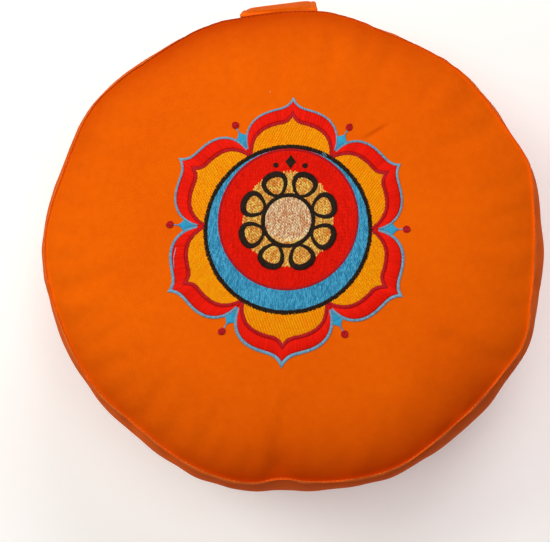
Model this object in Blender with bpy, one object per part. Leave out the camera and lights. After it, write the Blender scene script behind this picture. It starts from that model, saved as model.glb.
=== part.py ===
"""A round floor cushion for meditation, sewn from orange cotton twill and filled firm.

The cushion is one filled body: an upper panel with a broad crown, a side wall that bulges between two
seams, and an under panel that lies flat on the floor. Both seams stand out as a thin ridge. The upper
panel was cut round but is sewn with soft corners, so its outline is a short table of bearings and radii.
A strap of the same twill crosses the side wall from seam to seam as a carrying handle.

Metres, +Z up. The origin is the middle of the base, on the floor. Bearings are in degrees, anticlockwise
from +X. The emblem on the upper panel reads upright when +Y is up.
"""

import math
from collections import namedtuple

import bmesh
import bpy
from mathutils import Vector

# Overall sizes
HEIGHT = 0.170
UPPER_SEAM_HEIGHT = 0.150
LOWER_SEAM_HEIGHT = 0.0165
SEAM_MEAN_RADIUS = 0.151
FLAT_SHARE_OF_BASE = 0.80

# How full the cloth stands: larger powers are flatter in the middle and rounder at the seam
CROWN_POWER = 2.6
WALL_POWER = 2.4
BASE_POWER = 1.8

# The panel's corners fade out on their way down to the lower seam
CORNERS_AT_MID_WALL = 0.80
CORNERS_AT_LOWER_SEAM = 0.60
SEAM_DROP_AT_CORNERS = 0.15

# Seam ridge, across and out of the cloth
RIDGE_FOOT_HALF_WIDTH = 0.0016
RIDGE_CREST_HALF_WIDTH = 0.0007
RIDGE_HEIGHT = 0.0012
RIDGE_SINK = 0.0006

# A gather starts this far from its seam, as a share of the cloth's width
SEAM_HELD_SHARE = 0.04

# Mesh fineness
SECTORS = 108
PANEL_SHARES = (0.0, 0.12, 0.25, 0.38, 0.50, 0.61, 0.71, 0.79, 0.855, 0.905, 0.945, 0.975)
WALL_SHARES = (0.95, 0.88, 0.79, 0.68, 0.56, 0.44, 0.32, 0.21, 0.12, 0.05)
BASE_SHARES = (0.965, 0.92, 0.86)

# Upper seam seen from above: soft corners, and flatter stretches between them
OutlineRow = namedtuple("OutlineRow", "bearing_deg metres")
UPPER_OUTLINE = (
    OutlineRow(0, 0.1531),
    OutlineRow(9, 0.1546),
    OutlineRow(18, 0.1586),
    OutlineRow(29, 0.1550),
    OutlineRow(46, 0.1543),
    OutlineRow(56, 0.1510),
    OutlineRow(66, 0.1482),
    OutlineRow(79, 0.1499),
    OutlineRow(95, 0.1475),
    OutlineRow(111, 0.1484),
    OutlineRow(125, 0.1474),
    OutlineRow(144, 0.1529),
    OutlineRow(160, 0.1506),
    OutlineRow(180, 0.1548),
    OutlineRow(197, 0.1517),
    OutlineRow(216, 0.1489),
    OutlineRow(231, 0.1452),
    OutlineRow(243, 0.1474),
    OutlineRow(254, 0.1487),
    OutlineRow(262, 0.1477),
    OutlineRow(268, 0.1438),
    OutlineRow(274, 0.1458),
    OutlineRow(284, 0.1492),
    OutlineRow(296, 0.1521),
    OutlineRow(309, 0.1507),
    OutlineRow(321, 0.1520),
    OutlineRow(330, 0.1548),
    OutlineRow(338, 0.1583),
    OutlineRow(347, 0.1545),
    OutlineRow(354, 0.1533),
)

# How far the wall bulges past the line between its seams, at its middle
WALL_BULGE = (
    OutlineRow(0, 0.0136),
    OutlineRow(24, 0.0108),
    OutlineRow(60, 0.0124),
    OutlineRow(130, 0.0128),
    OutlineRow(175, 0.0118),
    OutlineRow(222, 0.0098),
    OutlineRow(262, 0.0120),
    OutlineRow(300, 0.0110),
    OutlineRow(336, 0.0120),
)

# Gathers where the wall was eased into the upper seam: a trough in the panel and a fold down the wall.
# A reach is a share of the panel's radius or of the wall's height.
PuckerRow = namedtuple("PuckerRow", "bearing_deg half_angle_deg panel_depth_m panel_reach wall_depth_m wall_reach")
UPPER_PUCKERS = (
    PuckerRow(6, 3.0, 0.0014, 0.17, 0.0024, 0.45),
    PuckerRow(28, 3.2, 0.0011, 0.15, 0.0020, 0.40),
    PuckerRow(56, 3.4, 0.0010, 0.13, 0.0018, 0.38),
    PuckerRow(72, 3.0, 0.0007, 0.11, 0.0015, 0.32),
    PuckerRow(121, 3.4, 0.0008, 0.12, 0.0018, 0.36),
    PuckerRow(158, 3.2, 0.0009, 0.13, 0.0022, 0.42),
    PuckerRow(191, 3.4, 0.0010, 0.13, 0.0024, 0.46),
    PuckerRow(213, 3.0, 0.0013, 0.16, 0.0026, 0.52),
    PuckerRow(229, 3.2, 0.0016, 0.18, 0.0032, 0.60),
    PuckerRow(241, 3.0, 0.0012, 0.14, 0.0024, 0.46),
    PuckerRow(268, 3.6, 0.0020, 0.20, 0.0042, 0.75),
    PuckerRow(281, 3.0, 0.0009, 0.12, 0.0022, 0.46),
    PuckerRow(303, 3.2, 0.0015, 0.17, 0.0028, 0.52),
    PuckerRow(315, 3.0, 0.0013, 0.15, 0.0022, 0.45),
    PuckerRow(328, 3.2, 0.0014, 0.15, 0.0026, 0.52),
    PuckerRow(350, 3.2, 0.0016, 0.18, 0.0028, 0.58),
)

# The same at the lower seam, where the weight presses the wall into folds
LOWER_PUCKERS = (
    PuckerRow(14, 3.4, 0.0010, 0.12, 0.0022, 0.34),
    PuckerRow(39, 3.2, 0.0008, 0.10, 0.0018, 0.28),
    PuckerRow(64, 3.6, 0.0008, 0.10, 0.0020, 0.32),
    PuckerRow(133, 3.4, 0.0009, 0.11, 0.0020, 0.30),
    PuckerRow(166, 3.2, 0.0010, 0.12, 0.0024, 0.36),
    PuckerRow(203, 3.6, 0.0009, 0.11, 0.0020, 0.32),
    PuckerRow(236, 3.2, 0.0010, 0.12, 0.0024, 0.38),
    PuckerRow(258, 3.0, 0.0008, 0.10, 0.0018, 0.28),
    PuckerRow(290, 3.4, 0.0011, 0.13, 0.0026, 0.38),
    PuckerRow(322, 3.2, 0.0009, 0.11, 0.0020, 0.30),
    PuckerRow(343, 3.4, 0.0010, 0.12, 0.0022, 0.34),
)

# Broad unevenness of the filling under the upper panel
SwellRow = namedtuple("SwellRow", "x_m y_m height_m spread_m")
SWELLS = (
    SwellRow(-0.070, 0.030, 0.0014, 0.050),
    SwellRow(0.085, -0.040, -0.0012, 0.045),
    SwellRow(0.060, 0.090, -0.0010, 0.035),
    SwellRow(-0.050, -0.085, 0.0010, 0.040),
)

# Carrying handle, which draws the wall in behind it and stands further off at its right edge
HANDLE_BEARING = 92.3
HANDLE_WIDTH = 0.049
HANDLE_THICKNESS = 0.0026
HANDLE_CLEARANCE = 0.0004
HANDLE_TOP_SHARE = 0.985
HANDLE_BOTTOM_SHARE = 0.015
HANDLE_LAP_SHARE = 0.07
HANDLE_LIFT_LEFT = 0.0100
HANDLE_LIFT_RIGHT = 0.0146
HANDLE_SLACK_POWER = 0.50
HOLLOW_BEHIND_HANDLE = 0.0080
HOLLOW_HALF_ANGLE = 24.0
HANDLE_STEPS_ACROSS = 5
HANDLE_STEPS_ALONG = 24

# Cloth colour, linear, with the dull surface of brushed cotton
ORANGE_TWILL = (0.81, 0.135, 0.004, 1.0)
TWILL_ROUGHNESS = 0.85


def clear_scene():
    """Remove whatever the file opened with."""
    for obj in list(bpy.data.objects):
        bpy.data.objects.remove(obj, do_unlink=True)


def blend(low, high, share):
    """The value that lies a share of the way from low to high."""
    return low + (high - low) * share


def smooth_step(share):
    """0 to 1 with no kink at either end, held outside that range."""
    held = min(1.0, max(0.0, share))
    return held * held * (3.0 - 2.0 * held)


def turn_between(bearing, other):
    """Degrees from other to bearing, from -180 to 180."""
    return (bearing - other + 180.0) % 360.0 - 180.0


def slope_at(rows, index):
    """Metres per degree at a row of a table that runs once round, from the rows on either side."""
    before = rows[index - 1]
    after = rows[(index + 1) % len(rows)]
    return (after.metres - before.metres) / ((after.bearing_deg - before.bearing_deg) % 360.0)


def round_curve(rows, bearing):
    """The value at a bearing of a smooth closed curve through a table's rows, the first of which is at 0."""
    bearing %= 360.0
    index = max(i for i, row in enumerate(rows) if row.bearing_deg <= bearing)
    following = (index + 1) % len(rows)
    start = rows[index]
    end = rows[following]
    span = (end.bearing_deg - start.bearing_deg) % 360.0
    t = (bearing - start.bearing_deg) / span
    from_start = (2 * t**3 - 3 * t**2 + 1) * start.metres + (t**3 - 2 * t**2 + t) * span * slope_at(rows, index)
    from_end = (3 * t**2 - 2 * t**3) * end.metres + (t**3 - t**2) * span * slope_at(rows, following)
    return from_start + from_end


def upper_radius(bearing):
    """Radius of the upper seam at a bearing."""
    return round_curve(UPPER_OUTLINE, bearing)


def faded_radius(bearing, corner_share):
    """The outline with its corners faded towards a true circle."""
    return SEAM_MEAN_RADIUS + corner_share * (upper_radius(bearing) - SEAM_MEAN_RADIUS)


def pucker_sum(rows, bearing, distance, depth_name, reach_name):
    """Total depth of a seam's gathers at a bearing, at a distance from that seam as a share of the cloth's width."""
    total = 0.0
    for row in rows:
        across = turn_between(bearing, row.bearing_deg) / row.half_angle_deg
        along = distance / getattr(row, reach_name)
        if abs(across) < 3.0 and along < 1.0:
            total += getattr(row, depth_name) * math.exp(-(across**2)) * (1.0 - smooth_step(along))
    return total * smooth_step(distance / SEAM_HELD_SHARE)


def swell(x, y):
    """Height that the filling adds to the crown at a point seen from above."""
    total = 0.0
    for row in SWELLS:
        away = math.hypot(x - row.x_m, y - row.y_m) / row.spread_m
        total += row.height_m * math.exp(-(away**2))
    return total


def upper_seam(bearing):
    """Radius and height of the upper seam line, in the root of its ridge."""
    radius = upper_radius(bearing)
    crest_reach = (RIDGE_CREST_HALF_WIDTH + RIDGE_HEIGHT) * math.sqrt(0.5)
    drop = SEAM_DROP_AT_CORNERS * (radius - SEAM_MEAN_RADIUS)
    return radius - crest_reach, UPPER_SEAM_HEIGHT - drop


def lower_seam(bearing):
    """Radius and height of the lower seam line."""
    crest_reach = (RIDGE_CREST_HALF_WIDTH + RIDGE_HEIGHT) * math.sqrt(0.5)
    return faded_radius(bearing, CORNERS_AT_LOWER_SEAM) - crest_reach, LOWER_SEAM_HEIGHT


def ridge_point(seam, side, out, upward):
    """A point of the seam ridge: side is across it towards the panel, out is along its own direction."""
    radius, height = seam
    diagonal = math.sqrt(0.5)
    return radius + diagonal * (out - side), height + upward * diagonal * (out + side)


def panel_foot(bearing):
    """Where the upper panel meets its seam ridge."""
    return ridge_point(upper_seam(bearing), RIDGE_FOOT_HALF_WIDTH, -RIDGE_SINK, 1)


def base_foot(bearing):
    """Where the under panel meets its seam ridge."""
    return ridge_point(lower_seam(bearing), RIDGE_FOOT_HALF_WIDTH, -RIDGE_SINK, -1)


def on_panel(share, bearing):
    """Radius and height on the upper panel, share 0 in its middle and 1 at the seam."""
    foot_radius, foot_height = panel_foot(bearing)
    radius = foot_radius * share
    crown = (HEIGHT - UPPER_SEAM_HEIGHT) * (1.0 - share**CROWN_POWER)
    angle = math.radians(bearing)
    filling = swell(radius * math.cos(angle), radius * math.sin(angle)) * (1.0 - share**4)
    gathers = pucker_sum(UPPER_PUCKERS, bearing, 1.0 - share, "panel_depth_m", "panel_reach")
    middle_height = blend(UPPER_SEAM_HEIGHT, foot_height, share)
    return radius, middle_height + crown + filling - gathers


def on_wall(share, bearing):
    """Radius and height on the side wall, share 0 at the lower seam and 1 at the upper one."""
    top_radius, top_height = ridge_point(upper_seam(bearing), -RIDGE_FOOT_HALF_WIDTH, -RIDGE_SINK, 1)
    low_radius, low_height = ridge_point(lower_seam(bearing), -RIDGE_FOOT_HALF_WIDTH, -RIDGE_SINK, -1)
    bow = 1.0 - abs(2.0 * share - 1.0) ** WALL_POWER
    straight = blend(low_radius, top_radius, share)
    fading = (CORNERS_AT_MID_WALL - blend(CORNERS_AT_LOWER_SEAM, 1.0, 0.5)) * bow
    corners = fading * (upper_radius(bearing) - SEAM_MEAN_RADIUS)
    behind_handle = turn_between(bearing, HANDLE_BEARING) / HOLLOW_HALF_ANGLE
    bulge = round_curve(WALL_BULGE, bearing) - HOLLOW_BEHIND_HANDLE * math.exp(-(behind_handle**2))
    folds = pucker_sum(UPPER_PUCKERS, bearing, 1.0 - share, "wall_depth_m", "wall_reach")
    folds += pucker_sum(LOWER_PUCKERS, bearing, share, "wall_depth_m", "wall_reach")
    return straight + corners + bulge * bow - folds, blend(low_height, top_height, share)


def on_base(share, bearing):
    """Radius and height on the under panel, share 1 at the seam and flat on the floor further in."""
    foot_radius, foot_height = base_foot(bearing)
    lift = max(0.0, share - FLAT_SHARE_OF_BASE) / (1.0 - FLAT_SHARE_OF_BASE)
    gathers = pucker_sum(LOWER_PUCKERS, bearing, 1.0 - share, "panel_depth_m", "panel_reach")
    return foot_radius * share, foot_height * lift**BASE_POWER + gathers


def ridge_stations(seam_at, upward):
    """The four stations over a seam ridge, from the panel's side to the wall's side."""
    offsets = (
        (RIDGE_FOOT_HALF_WIDTH, -RIDGE_SINK),
        (RIDGE_CREST_HALF_WIDTH, RIDGE_HEIGHT),
        (-RIDGE_CREST_HALF_WIDTH, RIDGE_HEIGHT),
        (-RIDGE_FOOT_HALF_WIDTH, -RIDGE_SINK),
    )
    return [lambda bearing, s=side, o=out: ridge_point(seam_at(bearing), s, o, upward) for side, out in offsets]


def cushion_stations():
    """One function of the bearing for each ring of the cushion, from the crown's middle round to the flat base."""
    stations = [lambda bearing, s=share: on_panel(s, bearing) for share in PANEL_SHARES]
    stations += ridge_stations(upper_seam, 1)
    stations += [lambda bearing, s=share: on_wall(s, bearing) for share in WALL_SHARES]
    stations += reversed(ridge_stations(lower_seam, -1))
    stations += [lambda bearing, s=share: on_base(s, bearing) for share in BASE_SHARES]
    stations.append(lambda bearing: on_base(FLAT_SHARE_OF_BASE, bearing))
    return stations


def placed(radius, height, bearing):
    """The point at a radius, height and bearing."""
    angle = math.radians(bearing)
    return Vector((radius * math.cos(angle), radius * math.sin(angle), height))


def build_cushion():
    """Turn the profile at bearing 0 into a round blank, then lay every ring on the sewn outline."""
    stations = cushion_stations()
    bm = bmesh.new()
    layer = bm.verts.layers.int.new("station")
    profile = []
    for index, station in enumerate(stations):
        vert = bm.verts.new(placed(*station(0.0), 0.0))
        vert[layer] = index
        profile.append(vert)
    edges = [bm.edges.new(pair) for pair in zip(profile, profile[1:])]
    bmesh.ops.spin(
        bm,
        geom=profile + edges,
        cent=(0, 0, 0),
        axis=(0, 0, 1),
        dvec=(0, 0, 0),
        angle=math.tau,
        steps=SECTORS,
        use_merge=False,
        use_duplicate=False,
    )
    bmesh.ops.remove_doubles(bm, verts=bm.verts[:], dist=1e-6)
    rim = [edge for edge in bm.edges if edge.is_boundary]
    bmesh.ops.contextual_create(bm, geom=rim)
    for vert in bm.verts:
        bearing = math.degrees(math.atan2(vert.co.y, vert.co.x))
        vert.co = placed(*stations[vert[layer]](bearing), bearing)
    bmesh.ops.recalc_face_normals(bm, faces=bm.faces[:])
    return finished_object("cushion", bm)


def handle_point(across, along):
    """A point of the handle's inner face: across from -0.5 to 0.5 towards larger bearings, along from 0 to 1 upwards.

    Its ends lie along the curved wall. Between them the strap is flat across and stands off the wall.
    """
    share = blend(HANDLE_BOTTOM_SHARE, HANDLE_TOP_SHARE, along)
    middle_radius, middle_height = on_wall(share, HANDLE_BEARING)
    bearing = HANDLE_BEARING + math.degrees(across * HANDLE_WIDTH / middle_radius)
    radius, height = on_wall(share, bearing)
    lying = placed(radius + HANDLE_CLEARANCE, height, bearing)
    sideways = placed(across * HANDLE_WIDTH, 0.0, HANDLE_BEARING + 90.0)
    lift = blend(HANDLE_LIFT_RIGHT, HANDLE_LIFT_LEFT, across + 0.5)
    standing = placed(middle_radius + HANDLE_CLEARANCE + lift, middle_height, HANDLE_BEARING) + sideways
    rise = min(along, 1.0 - along) - HANDLE_LAP_SHARE
    slack = smooth_step(rise / (0.5 - HANDLE_LAP_SHARE)) ** HANDLE_SLACK_POWER
    return lying.lerp(standing, slack)


def build_handle():
    """A flat grid laid down the side wall, slack in the middle, then given the strap's thickness."""
    bm = bmesh.new()
    bmesh.ops.create_grid(bm, x_segments=HANDLE_STEPS_ACROSS, y_segments=HANDLE_STEPS_ALONG, size=0.5)
    for vert in bm.verts:
        vert.co = handle_point(vert.co.x, vert.co.y + 0.5)
    bmesh.ops.recalc_face_normals(bm, faces=bm.faces[:])
    handle = finished_object("carry_handle", bm)
    outward = handle.data.polygons[0].normal.dot(handle.data.polygons[0].center) > 0
    thicken = handle.modifiers.new("Cloth thickness", "SOLIDIFY")
    thicken.thickness = HANDLE_THICKNESS
    thicken.offset = 1.0 if outward else -1.0
    thicken.use_even_offset = False
    return handle


def finished_object(name, bm):
    """An object with smooth shading from a bmesh, which is freed."""
    mesh = bpy.data.meshes.new(name)
    bm.to_mesh(mesh)
    bm.free()
    mesh.shade_smooth()
    obj = bpy.data.objects.new(name, mesh)
    bpy.context.scene.collection.objects.link(obj)
    return obj


def twill_material(name):
    """Dull orange cotton for one sewn piece."""
    material = bpy.data.materials.new(name)
    material.use_nodes = True
    shader = material.node_tree.nodes["Principled BSDF"]
    shader.inputs["Base Color"].default_value = ORANGE_TWILL
    shader.inputs["Roughness"].default_value = TWILL_ROUGHNESS
    shader.inputs["Metallic"].default_value = 0.0
    return material


def main():
    """Build the two sewn pieces."""
    clear_scene()
    build_cushion().data.materials.append(twill_material("cushion_twill"))
    build_handle().data.materials.append(twill_material("handle_twill"))


main()
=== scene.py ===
"""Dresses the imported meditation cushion: twill cover, sewn seams, carrying strap and embroidered lotus.

Metres, +Z up, the origin in the middle of the base. Bearings are in degrees, anticlockwise from +X, and the
lotus reads upright with +Y up. Sizes of the embroidery are written in millimetres and turned into metres by MM.
"""

import logging
import math
from dataclasses import dataclass, field
from enum import Enum
from typing import Callable

import bpy
import numpy as np
from mathutils import Matrix, Vector
from mathutils.bvhtree import BVHTree


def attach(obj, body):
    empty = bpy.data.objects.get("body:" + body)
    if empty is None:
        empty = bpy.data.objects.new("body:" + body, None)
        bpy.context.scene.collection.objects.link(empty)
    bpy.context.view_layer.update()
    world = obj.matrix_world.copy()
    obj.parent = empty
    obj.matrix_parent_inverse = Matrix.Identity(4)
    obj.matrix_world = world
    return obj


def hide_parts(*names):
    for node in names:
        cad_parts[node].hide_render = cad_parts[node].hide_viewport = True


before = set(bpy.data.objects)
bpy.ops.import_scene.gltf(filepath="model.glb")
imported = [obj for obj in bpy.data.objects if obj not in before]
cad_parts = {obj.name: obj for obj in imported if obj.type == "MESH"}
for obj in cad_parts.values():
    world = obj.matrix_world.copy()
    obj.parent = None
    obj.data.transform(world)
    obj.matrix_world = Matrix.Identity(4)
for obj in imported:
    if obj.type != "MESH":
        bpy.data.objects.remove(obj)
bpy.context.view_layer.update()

Array = np.ndarray
Colour = tuple[float, float, float, float]
Edges = tuple[Array, Array]

log = logging.getLogger("cushion")

MM = 0.001
BODY = "root"
TURN = 2.0 * math.pi


def srgb(red: int, green: int, blue: int) -> Colour:
    """A linear colour from the three values of a screen colour, 0 to 255."""
    parts = [value / 255.0 for value in (red, green, blue)]
    linear = [p / 12.92 if p <= 0.04045 else ((p + 0.055) / 1.055) ** 2.4 for p in parts]
    return (linear[0], linear[1], linear[2], 1.0)


# ---------------------------------------------------------------- curves and meshes


def smooth_step(share: Array) -> Array:
    """0 to 1 with no kink at either end, held outside that range."""
    held = np.clip(share, 0.0, 1.0)
    return held * held * (3.0 - 2.0 * held)


def read_round(rows: Array, turns: Array) -> Array:
    """Read a closed smooth curve through rows that lie evenly once round.

    Args:
        rows: one value or vector per bearing, the first at bearing 0.
        turns: places to read, where 1.0 is once round.

    Returns:
        One value or vector per place.
    """
    count = len(rows)
    place = np.asarray(turns) * count
    base = np.floor(place).astype(int)
    t = (place - base).reshape(place.shape + (1,) * (rows.ndim - 1))
    before, here, after, beyond = (rows[(base + step) % count] for step in (-1, 0, 1, 2))
    cubic = 3 * here - before - 3 * after + beyond
    square = 2 * before - 5 * here + 4 * after - beyond
    return here + 0.5 * ((after - before) * t + square * t**2 + cubic * t**3)


def slopes_at(knots: Array, values: Array) -> Array:
    """Slope of a smooth curve at each of its knots, from the neighbours on both sides."""
    gaps = np.diff(knots).reshape((-1,) + (1,) * (values.ndim - 1))
    steps = np.diff(values, axis=0) / gaps
    inner = (steps[1:] * gaps[:-1] + steps[:-1] * gaps[1:]) / (gaps[1:] + gaps[:-1])
    return np.concatenate([2 * steps[:1] - inner[:1], inner, 2 * steps[-1:] - inner[-1:]])


def hermite(start: Array, end: Array, start_slope: Array, end_slope: Array, share: Array, span: Array) -> Array:
    """The point a share of the way along one stretch of a smooth curve."""
    s2, s3 = share**2, share**3
    ends = start * (2 * s3 - 3 * s2 + 1) + end * (3 * s2 - 2 * s3)
    return ends + span * (start_slope * (s3 - 2 * s2 + share) + end_slope * (s3 - s2))


def read_curve(knots: Array, values: Array, places: Array) -> Array:
    """Read a smooth curve through values at uneven knots.

    Args:
        knots: rising places of the values.
        values: one row per knot.
        places: where to read.

    Returns:
        One row per place.
    """
    index = np.clip(np.searchsorted(knots, places, side="right") - 1, 0, len(knots) - 2)
    shape = (-1,) + (1,) * (values.ndim - 1)
    span = (knots[index + 1] - knots[index]).reshape(shape)
    share = (places - knots[index]).reshape(shape) / span
    slopes = slopes_at(knots, values)
    return hermite(values[index], values[index + 1], slopes[index], slopes[index + 1], share, span)


def run_length(points: Array) -> Array:
    """Length along a line of points up to each of them."""
    return np.concatenate([[0.0], np.cumsum(np.linalg.norm(np.diff(points, axis=0), axis=1))])


def along(points: Array, shares: Array) -> Array:
    """Points at shares of the length of a line of points."""
    run = run_length(points)
    return np.stack([np.interp(shares * run[-1], run, points[:, axis]) for axis in range(points.shape[1])], 1)


def only_select(obj: bpy.types.Object) -> None:
    """Make one object the active and only selected one."""
    bpy.ops.object.select_all(action="DESELECT")
    obj.select_set(True)
    bpy.context.view_layer.objects.active = obj


def apply_modifiers(obj: bpy.types.Object) -> None:
    """Apply every modifier of an object in order."""
    only_select(obj)
    for name in [modifier.name for modifier in obj.modifiers]:
        bpy.ops.object.modifier_apply(modifier=name)


def positions(obj: bpy.types.Object) -> Array:
    """The vertices of an object's mesh as rows."""
    flat = np.empty(len(obj.data.vertices) * 3)
    obj.data.vertices.foreach_get("co", flat)
    return flat.reshape(-1, 3)


def set_positions(obj: bpy.types.Object, points: Array) -> None:
    """Move the vertices of an object's mesh to rows of points."""
    obj.data.vertices.foreach_set("co", np.asarray(points, dtype=np.float64).ravel())
    obj.data.update()


def set_values(obj: bpy.types.Object, name: str, values: Array) -> None:
    """Store a number, or three, for each vertex of an object, for its material to read."""
    kind = "FLOAT" if values.ndim == 1 else "FLOAT_VECTOR"
    layer = obj.data.attributes.new(name, kind, "POINT")
    layer.data.foreach_set("value" if values.ndim == 1 else "vector", np.asarray(values, dtype=np.float64).ravel())


def mesh_object(name: str, points: Array, faces: list[list[int]]) -> bpy.types.Object:
    """A smooth-shaded object from points and faces, in the scene."""
    mesh = bpy.data.meshes.new(name)
    mesh.from_pydata(points.tolist(), [], faces)
    mesh.shade_smooth()
    obj = bpy.data.objects.new(name, mesh)
    bpy.context.scene.collection.objects.link(obj)
    return obj


def welded_points(node: str) -> Array:
    """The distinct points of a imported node."""
    return np.unique(np.round(positions(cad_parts[node]), 6), axis=0)


def triangles(obj: bpy.types.Object) -> int:
    """How many triangles an object's mesh has."""
    return sum(len(face.vertices) - 2 for face in obj.data.polygons)


# ---------------------------------------------------------------- finishes


@dataclass
class NodeBoard:
    """Adds shader nodes to one tree and joins them."""

    tree: bpy.types.NodeTree

    def add(self, kind: str, inputs: dict | None = None, **settings) -> bpy.types.Node:
        """Add a node.

        Args:
            kind: the node's Blender type.
            inputs: values or other nodes' sockets, by input name or index.
            settings: the node's own settings.

        Returns:
            The node.
        """
        node = self.tree.nodes.new(kind)
        for name, value in settings.items():
            setattr(node, name, value)
        for name, value in (inputs or {}).items():
            self.feed(node.inputs[name], value)
        return node

    def feed(self, socket: bpy.types.NodeSocket, value: object) -> None:
        """Join a socket to another, or give it a constant."""
        if isinstance(value, bpy.types.NodeSocket):
            self.tree.links.new(value, socket)
        else:
            socket.default_value = value

    def maths(self, operation: str, first: object, second: object = 0.0, third: object = 0.0) -> bpy.types.NodeSocket:
        """The result of one sum on sockets or numbers."""
        node = self.add("ShaderNodeMath", {0: first, 1: second, 2: third}, operation=operation)
        return node.outputs[0]

    def wave(self, turns: object) -> bpy.types.NodeSocket:
        """A wave from 0 to 1 that repeats once a turn."""
        sine = self.maths("SINE", self.maths("MULTIPLY", turns, TURN))
        return self.maths("MULTIPLY_ADD", sine, 0.5, 0.5)

    def noise(self, vector: object, scale: float, detail: float = 2.0) -> bpy.types.NodeSocket:
        """Soft noise around one half."""
        node = self.add("ShaderNodeTexNoise", {"Vector": vector, "Scale": scale, "Detail": detail})
        return node.outputs[0]

    def mix(self, share: object, first: object, second: object, blend: str = "MIX") -> bpy.types.NodeSocket:
        """A colour between two others."""
        node = self.add("ShaderNodeMix", data_type="RGBA", blend_type=blend)
        self.feed(node.inputs[0], share)
        self.feed(node.inputs[6], first)
        self.feed(node.inputs[7], second)
        return node.outputs[2]

    def spread(self, value: object, low: float, high: float) -> bpy.types.NodeSocket:
        """A value from 0 to 1 taken to the range from low to high."""
        return self.maths("MULTIPLY_ADD", value, high - low, low)


def new_group(name: str, inputs: dict[str, object], outputs: list[str]) -> NodeBoard:
    """An empty shader node group with named sockets.

    Args:
        name: the group's name.
        inputs: a number, or three for a vector, by socket name.
        outputs: names of the values it puts out.

    Returns:
        The board of the group's own tree.
    """
    tree = bpy.data.node_groups.new(name, "ShaderNodeTree")
    for socket, value in inputs.items():
        kind = "NodeSocketFloat" if isinstance(value, float) else "NodeSocketVector"
        made = tree.interface.new_socket(name=socket, in_out="INPUT", socket_type=kind)
        made.default_value = value
    for socket in outputs:
        tree.interface.new_socket(name=socket, in_out="OUTPUT", socket_type="NodeSocketFloat")
    return NodeBoard(tree)


def twill_group() -> bpy.types.NodeTree:
    """Build diagonal ribs of twill, each a chain of short floats.

    Returns:
        The group, which puts out their height and their tone, with painted shade in the grooves between ribs.
    """
    inputs = {"Run": (0.0, 0.0, 0.0), "Rib Pitch": 0.0009, "Lean": 0.87, "Waver": 0.12}
    board = new_group("twill_weave", inputs, ["Height", "Tone"])
    given = board.add("NodeGroupInput").outputs
    parts = board.add("ShaderNodeSeparateXYZ", {0: given["Run"]}).outputs
    cosine, sine = board.maths("COSINE", given["Lean"]), board.maths("SINE", given["Lean"])
    lift = board.maths("MULTIPLY", parts[1], cosine)
    across = board.maths("SUBTRACT", lift, board.maths("MULTIPLY", parts[0], sine))
    forth = board.maths("MULTIPLY_ADD", parts[0], cosine, board.maths("MULTIPLY", parts[1], sine))
    drift = board.maths("SUBTRACT", board.noise(given["Run"], 260.0), 0.5)
    ribs = board.maths("DIVIDE", across, given["Rib Pitch"])
    ribs = board.maths("MULTIPLY_ADD", drift, board.maths("MULTIPLY", given["Waver"], 4.0), ribs)
    floats = board.maths("DIVIDE", forth, board.maths("MULTIPLY", given["Rib Pitch"], 0.85))
    floats = board.maths("MULTIPLY_ADD", ribs, 0.5, floats)
    rib, bead = board.wave(ribs), board.wave(floats)
    height = board.maths("MULTIPLY", rib, board.spread(bead, 0.62, 1.0))
    fuzz = board.noise(given["Run"], 2600.0, 3.0)
    # painted shade: the tone follows the rib height, darker in the grooves
    tone = board.maths("MULTIPLY_ADD", fuzz, 0.5, board.maths("MULTIPLY", height, 0.5))
    board.add("NodeGroupOutput", {"Height": board.maths("MULTIPLY_ADD", fuzz, 0.3, height), "Tone": tone})
    return board.tree


def thread_group() -> bpy.types.NodeTree:
    """Build the twist of an embroidery thread.

    Returns:
        The group, which puts out the height of the ply and a tone that changes from stitch to stitch, with painted
        shade in the twist's grooves.
    """
    inputs = {"Run": (0.0, 0.0, 0.0), "Twist Length": 0.0007, "Tint": 0.5}
    board = new_group("spun_thread", inputs, ["Height", "Tone"])
    given = board.add("NodeGroupInput").outputs
    parts = board.add("ShaderNodeSeparateXYZ", {0: given["Run"]}).outputs
    turn = board.maths("MULTIPLY", board.maths("DIVIDE", parts[0], given["Twist Length"]), TURN)
    wave = board.maths("MULTIPLY", board.maths("SINE", turn), parts[1])
    wave = board.maths("MULTIPLY_ADD", board.maths("COSINE", turn), parts[2], wave)
    ply = board.maths("MULTIPLY_ADD", wave, 0.5, 0.5)
    # painted shade: the tone follows the ply height, darker in the grooves of the twist
    tone = board.maths("MULTIPLY_ADD", given["Tint"], 0.75, board.maths("MULTIPLY", ply, 0.25))
    board.add("NodeGroupOutput", {"Height": ply, "Tone": tone})
    return board.tree


def mottle_group() -> bpy.types.NodeTree:
    """Build the broad and fine unevenness of dyed cloth.

    Returns:
        The group, which puts out a value about one half.
    """
    board = new_group("dye_mottle", {"Place": (0.0, 0.0, 0.0), "Patch Scale": 16.0}, ["Mottle"])
    given = board.add("NodeGroupInput").outputs
    broad = board.add("ShaderNodeTexNoise", {"Vector": given["Place"], "Scale": given["Patch Scale"], "Detail": 3.0})
    fine_scale = board.maths("MULTIPLY", given["Patch Scale"], 14.0)
    fine = board.add("ShaderNodeTexNoise", {"Vector": given["Place"], "Scale": fine_scale, "Detail": 2.0})
    both = board.maths("MULTIPLY_ADD", fine.outputs[0], 0.35, board.maths("MULTIPLY", broad.outputs[0], 0.65))
    board.add("NodeGroupOutput", {"Mottle": both})
    return board.tree


class Effect(Enum):
    """Shader groups that more than one finish uses."""

    TWILL = "twill_weave"
    THREAD = "spun_thread"
    MOTTLE = "dye_mottle"


EFFECT_MAKERS: dict[Effect, Callable[[], bpy.types.NodeTree]] = {
    Effect.TWILL: twill_group,
    Effect.THREAD: thread_group,
    Effect.MOTTLE: mottle_group,
}


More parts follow.
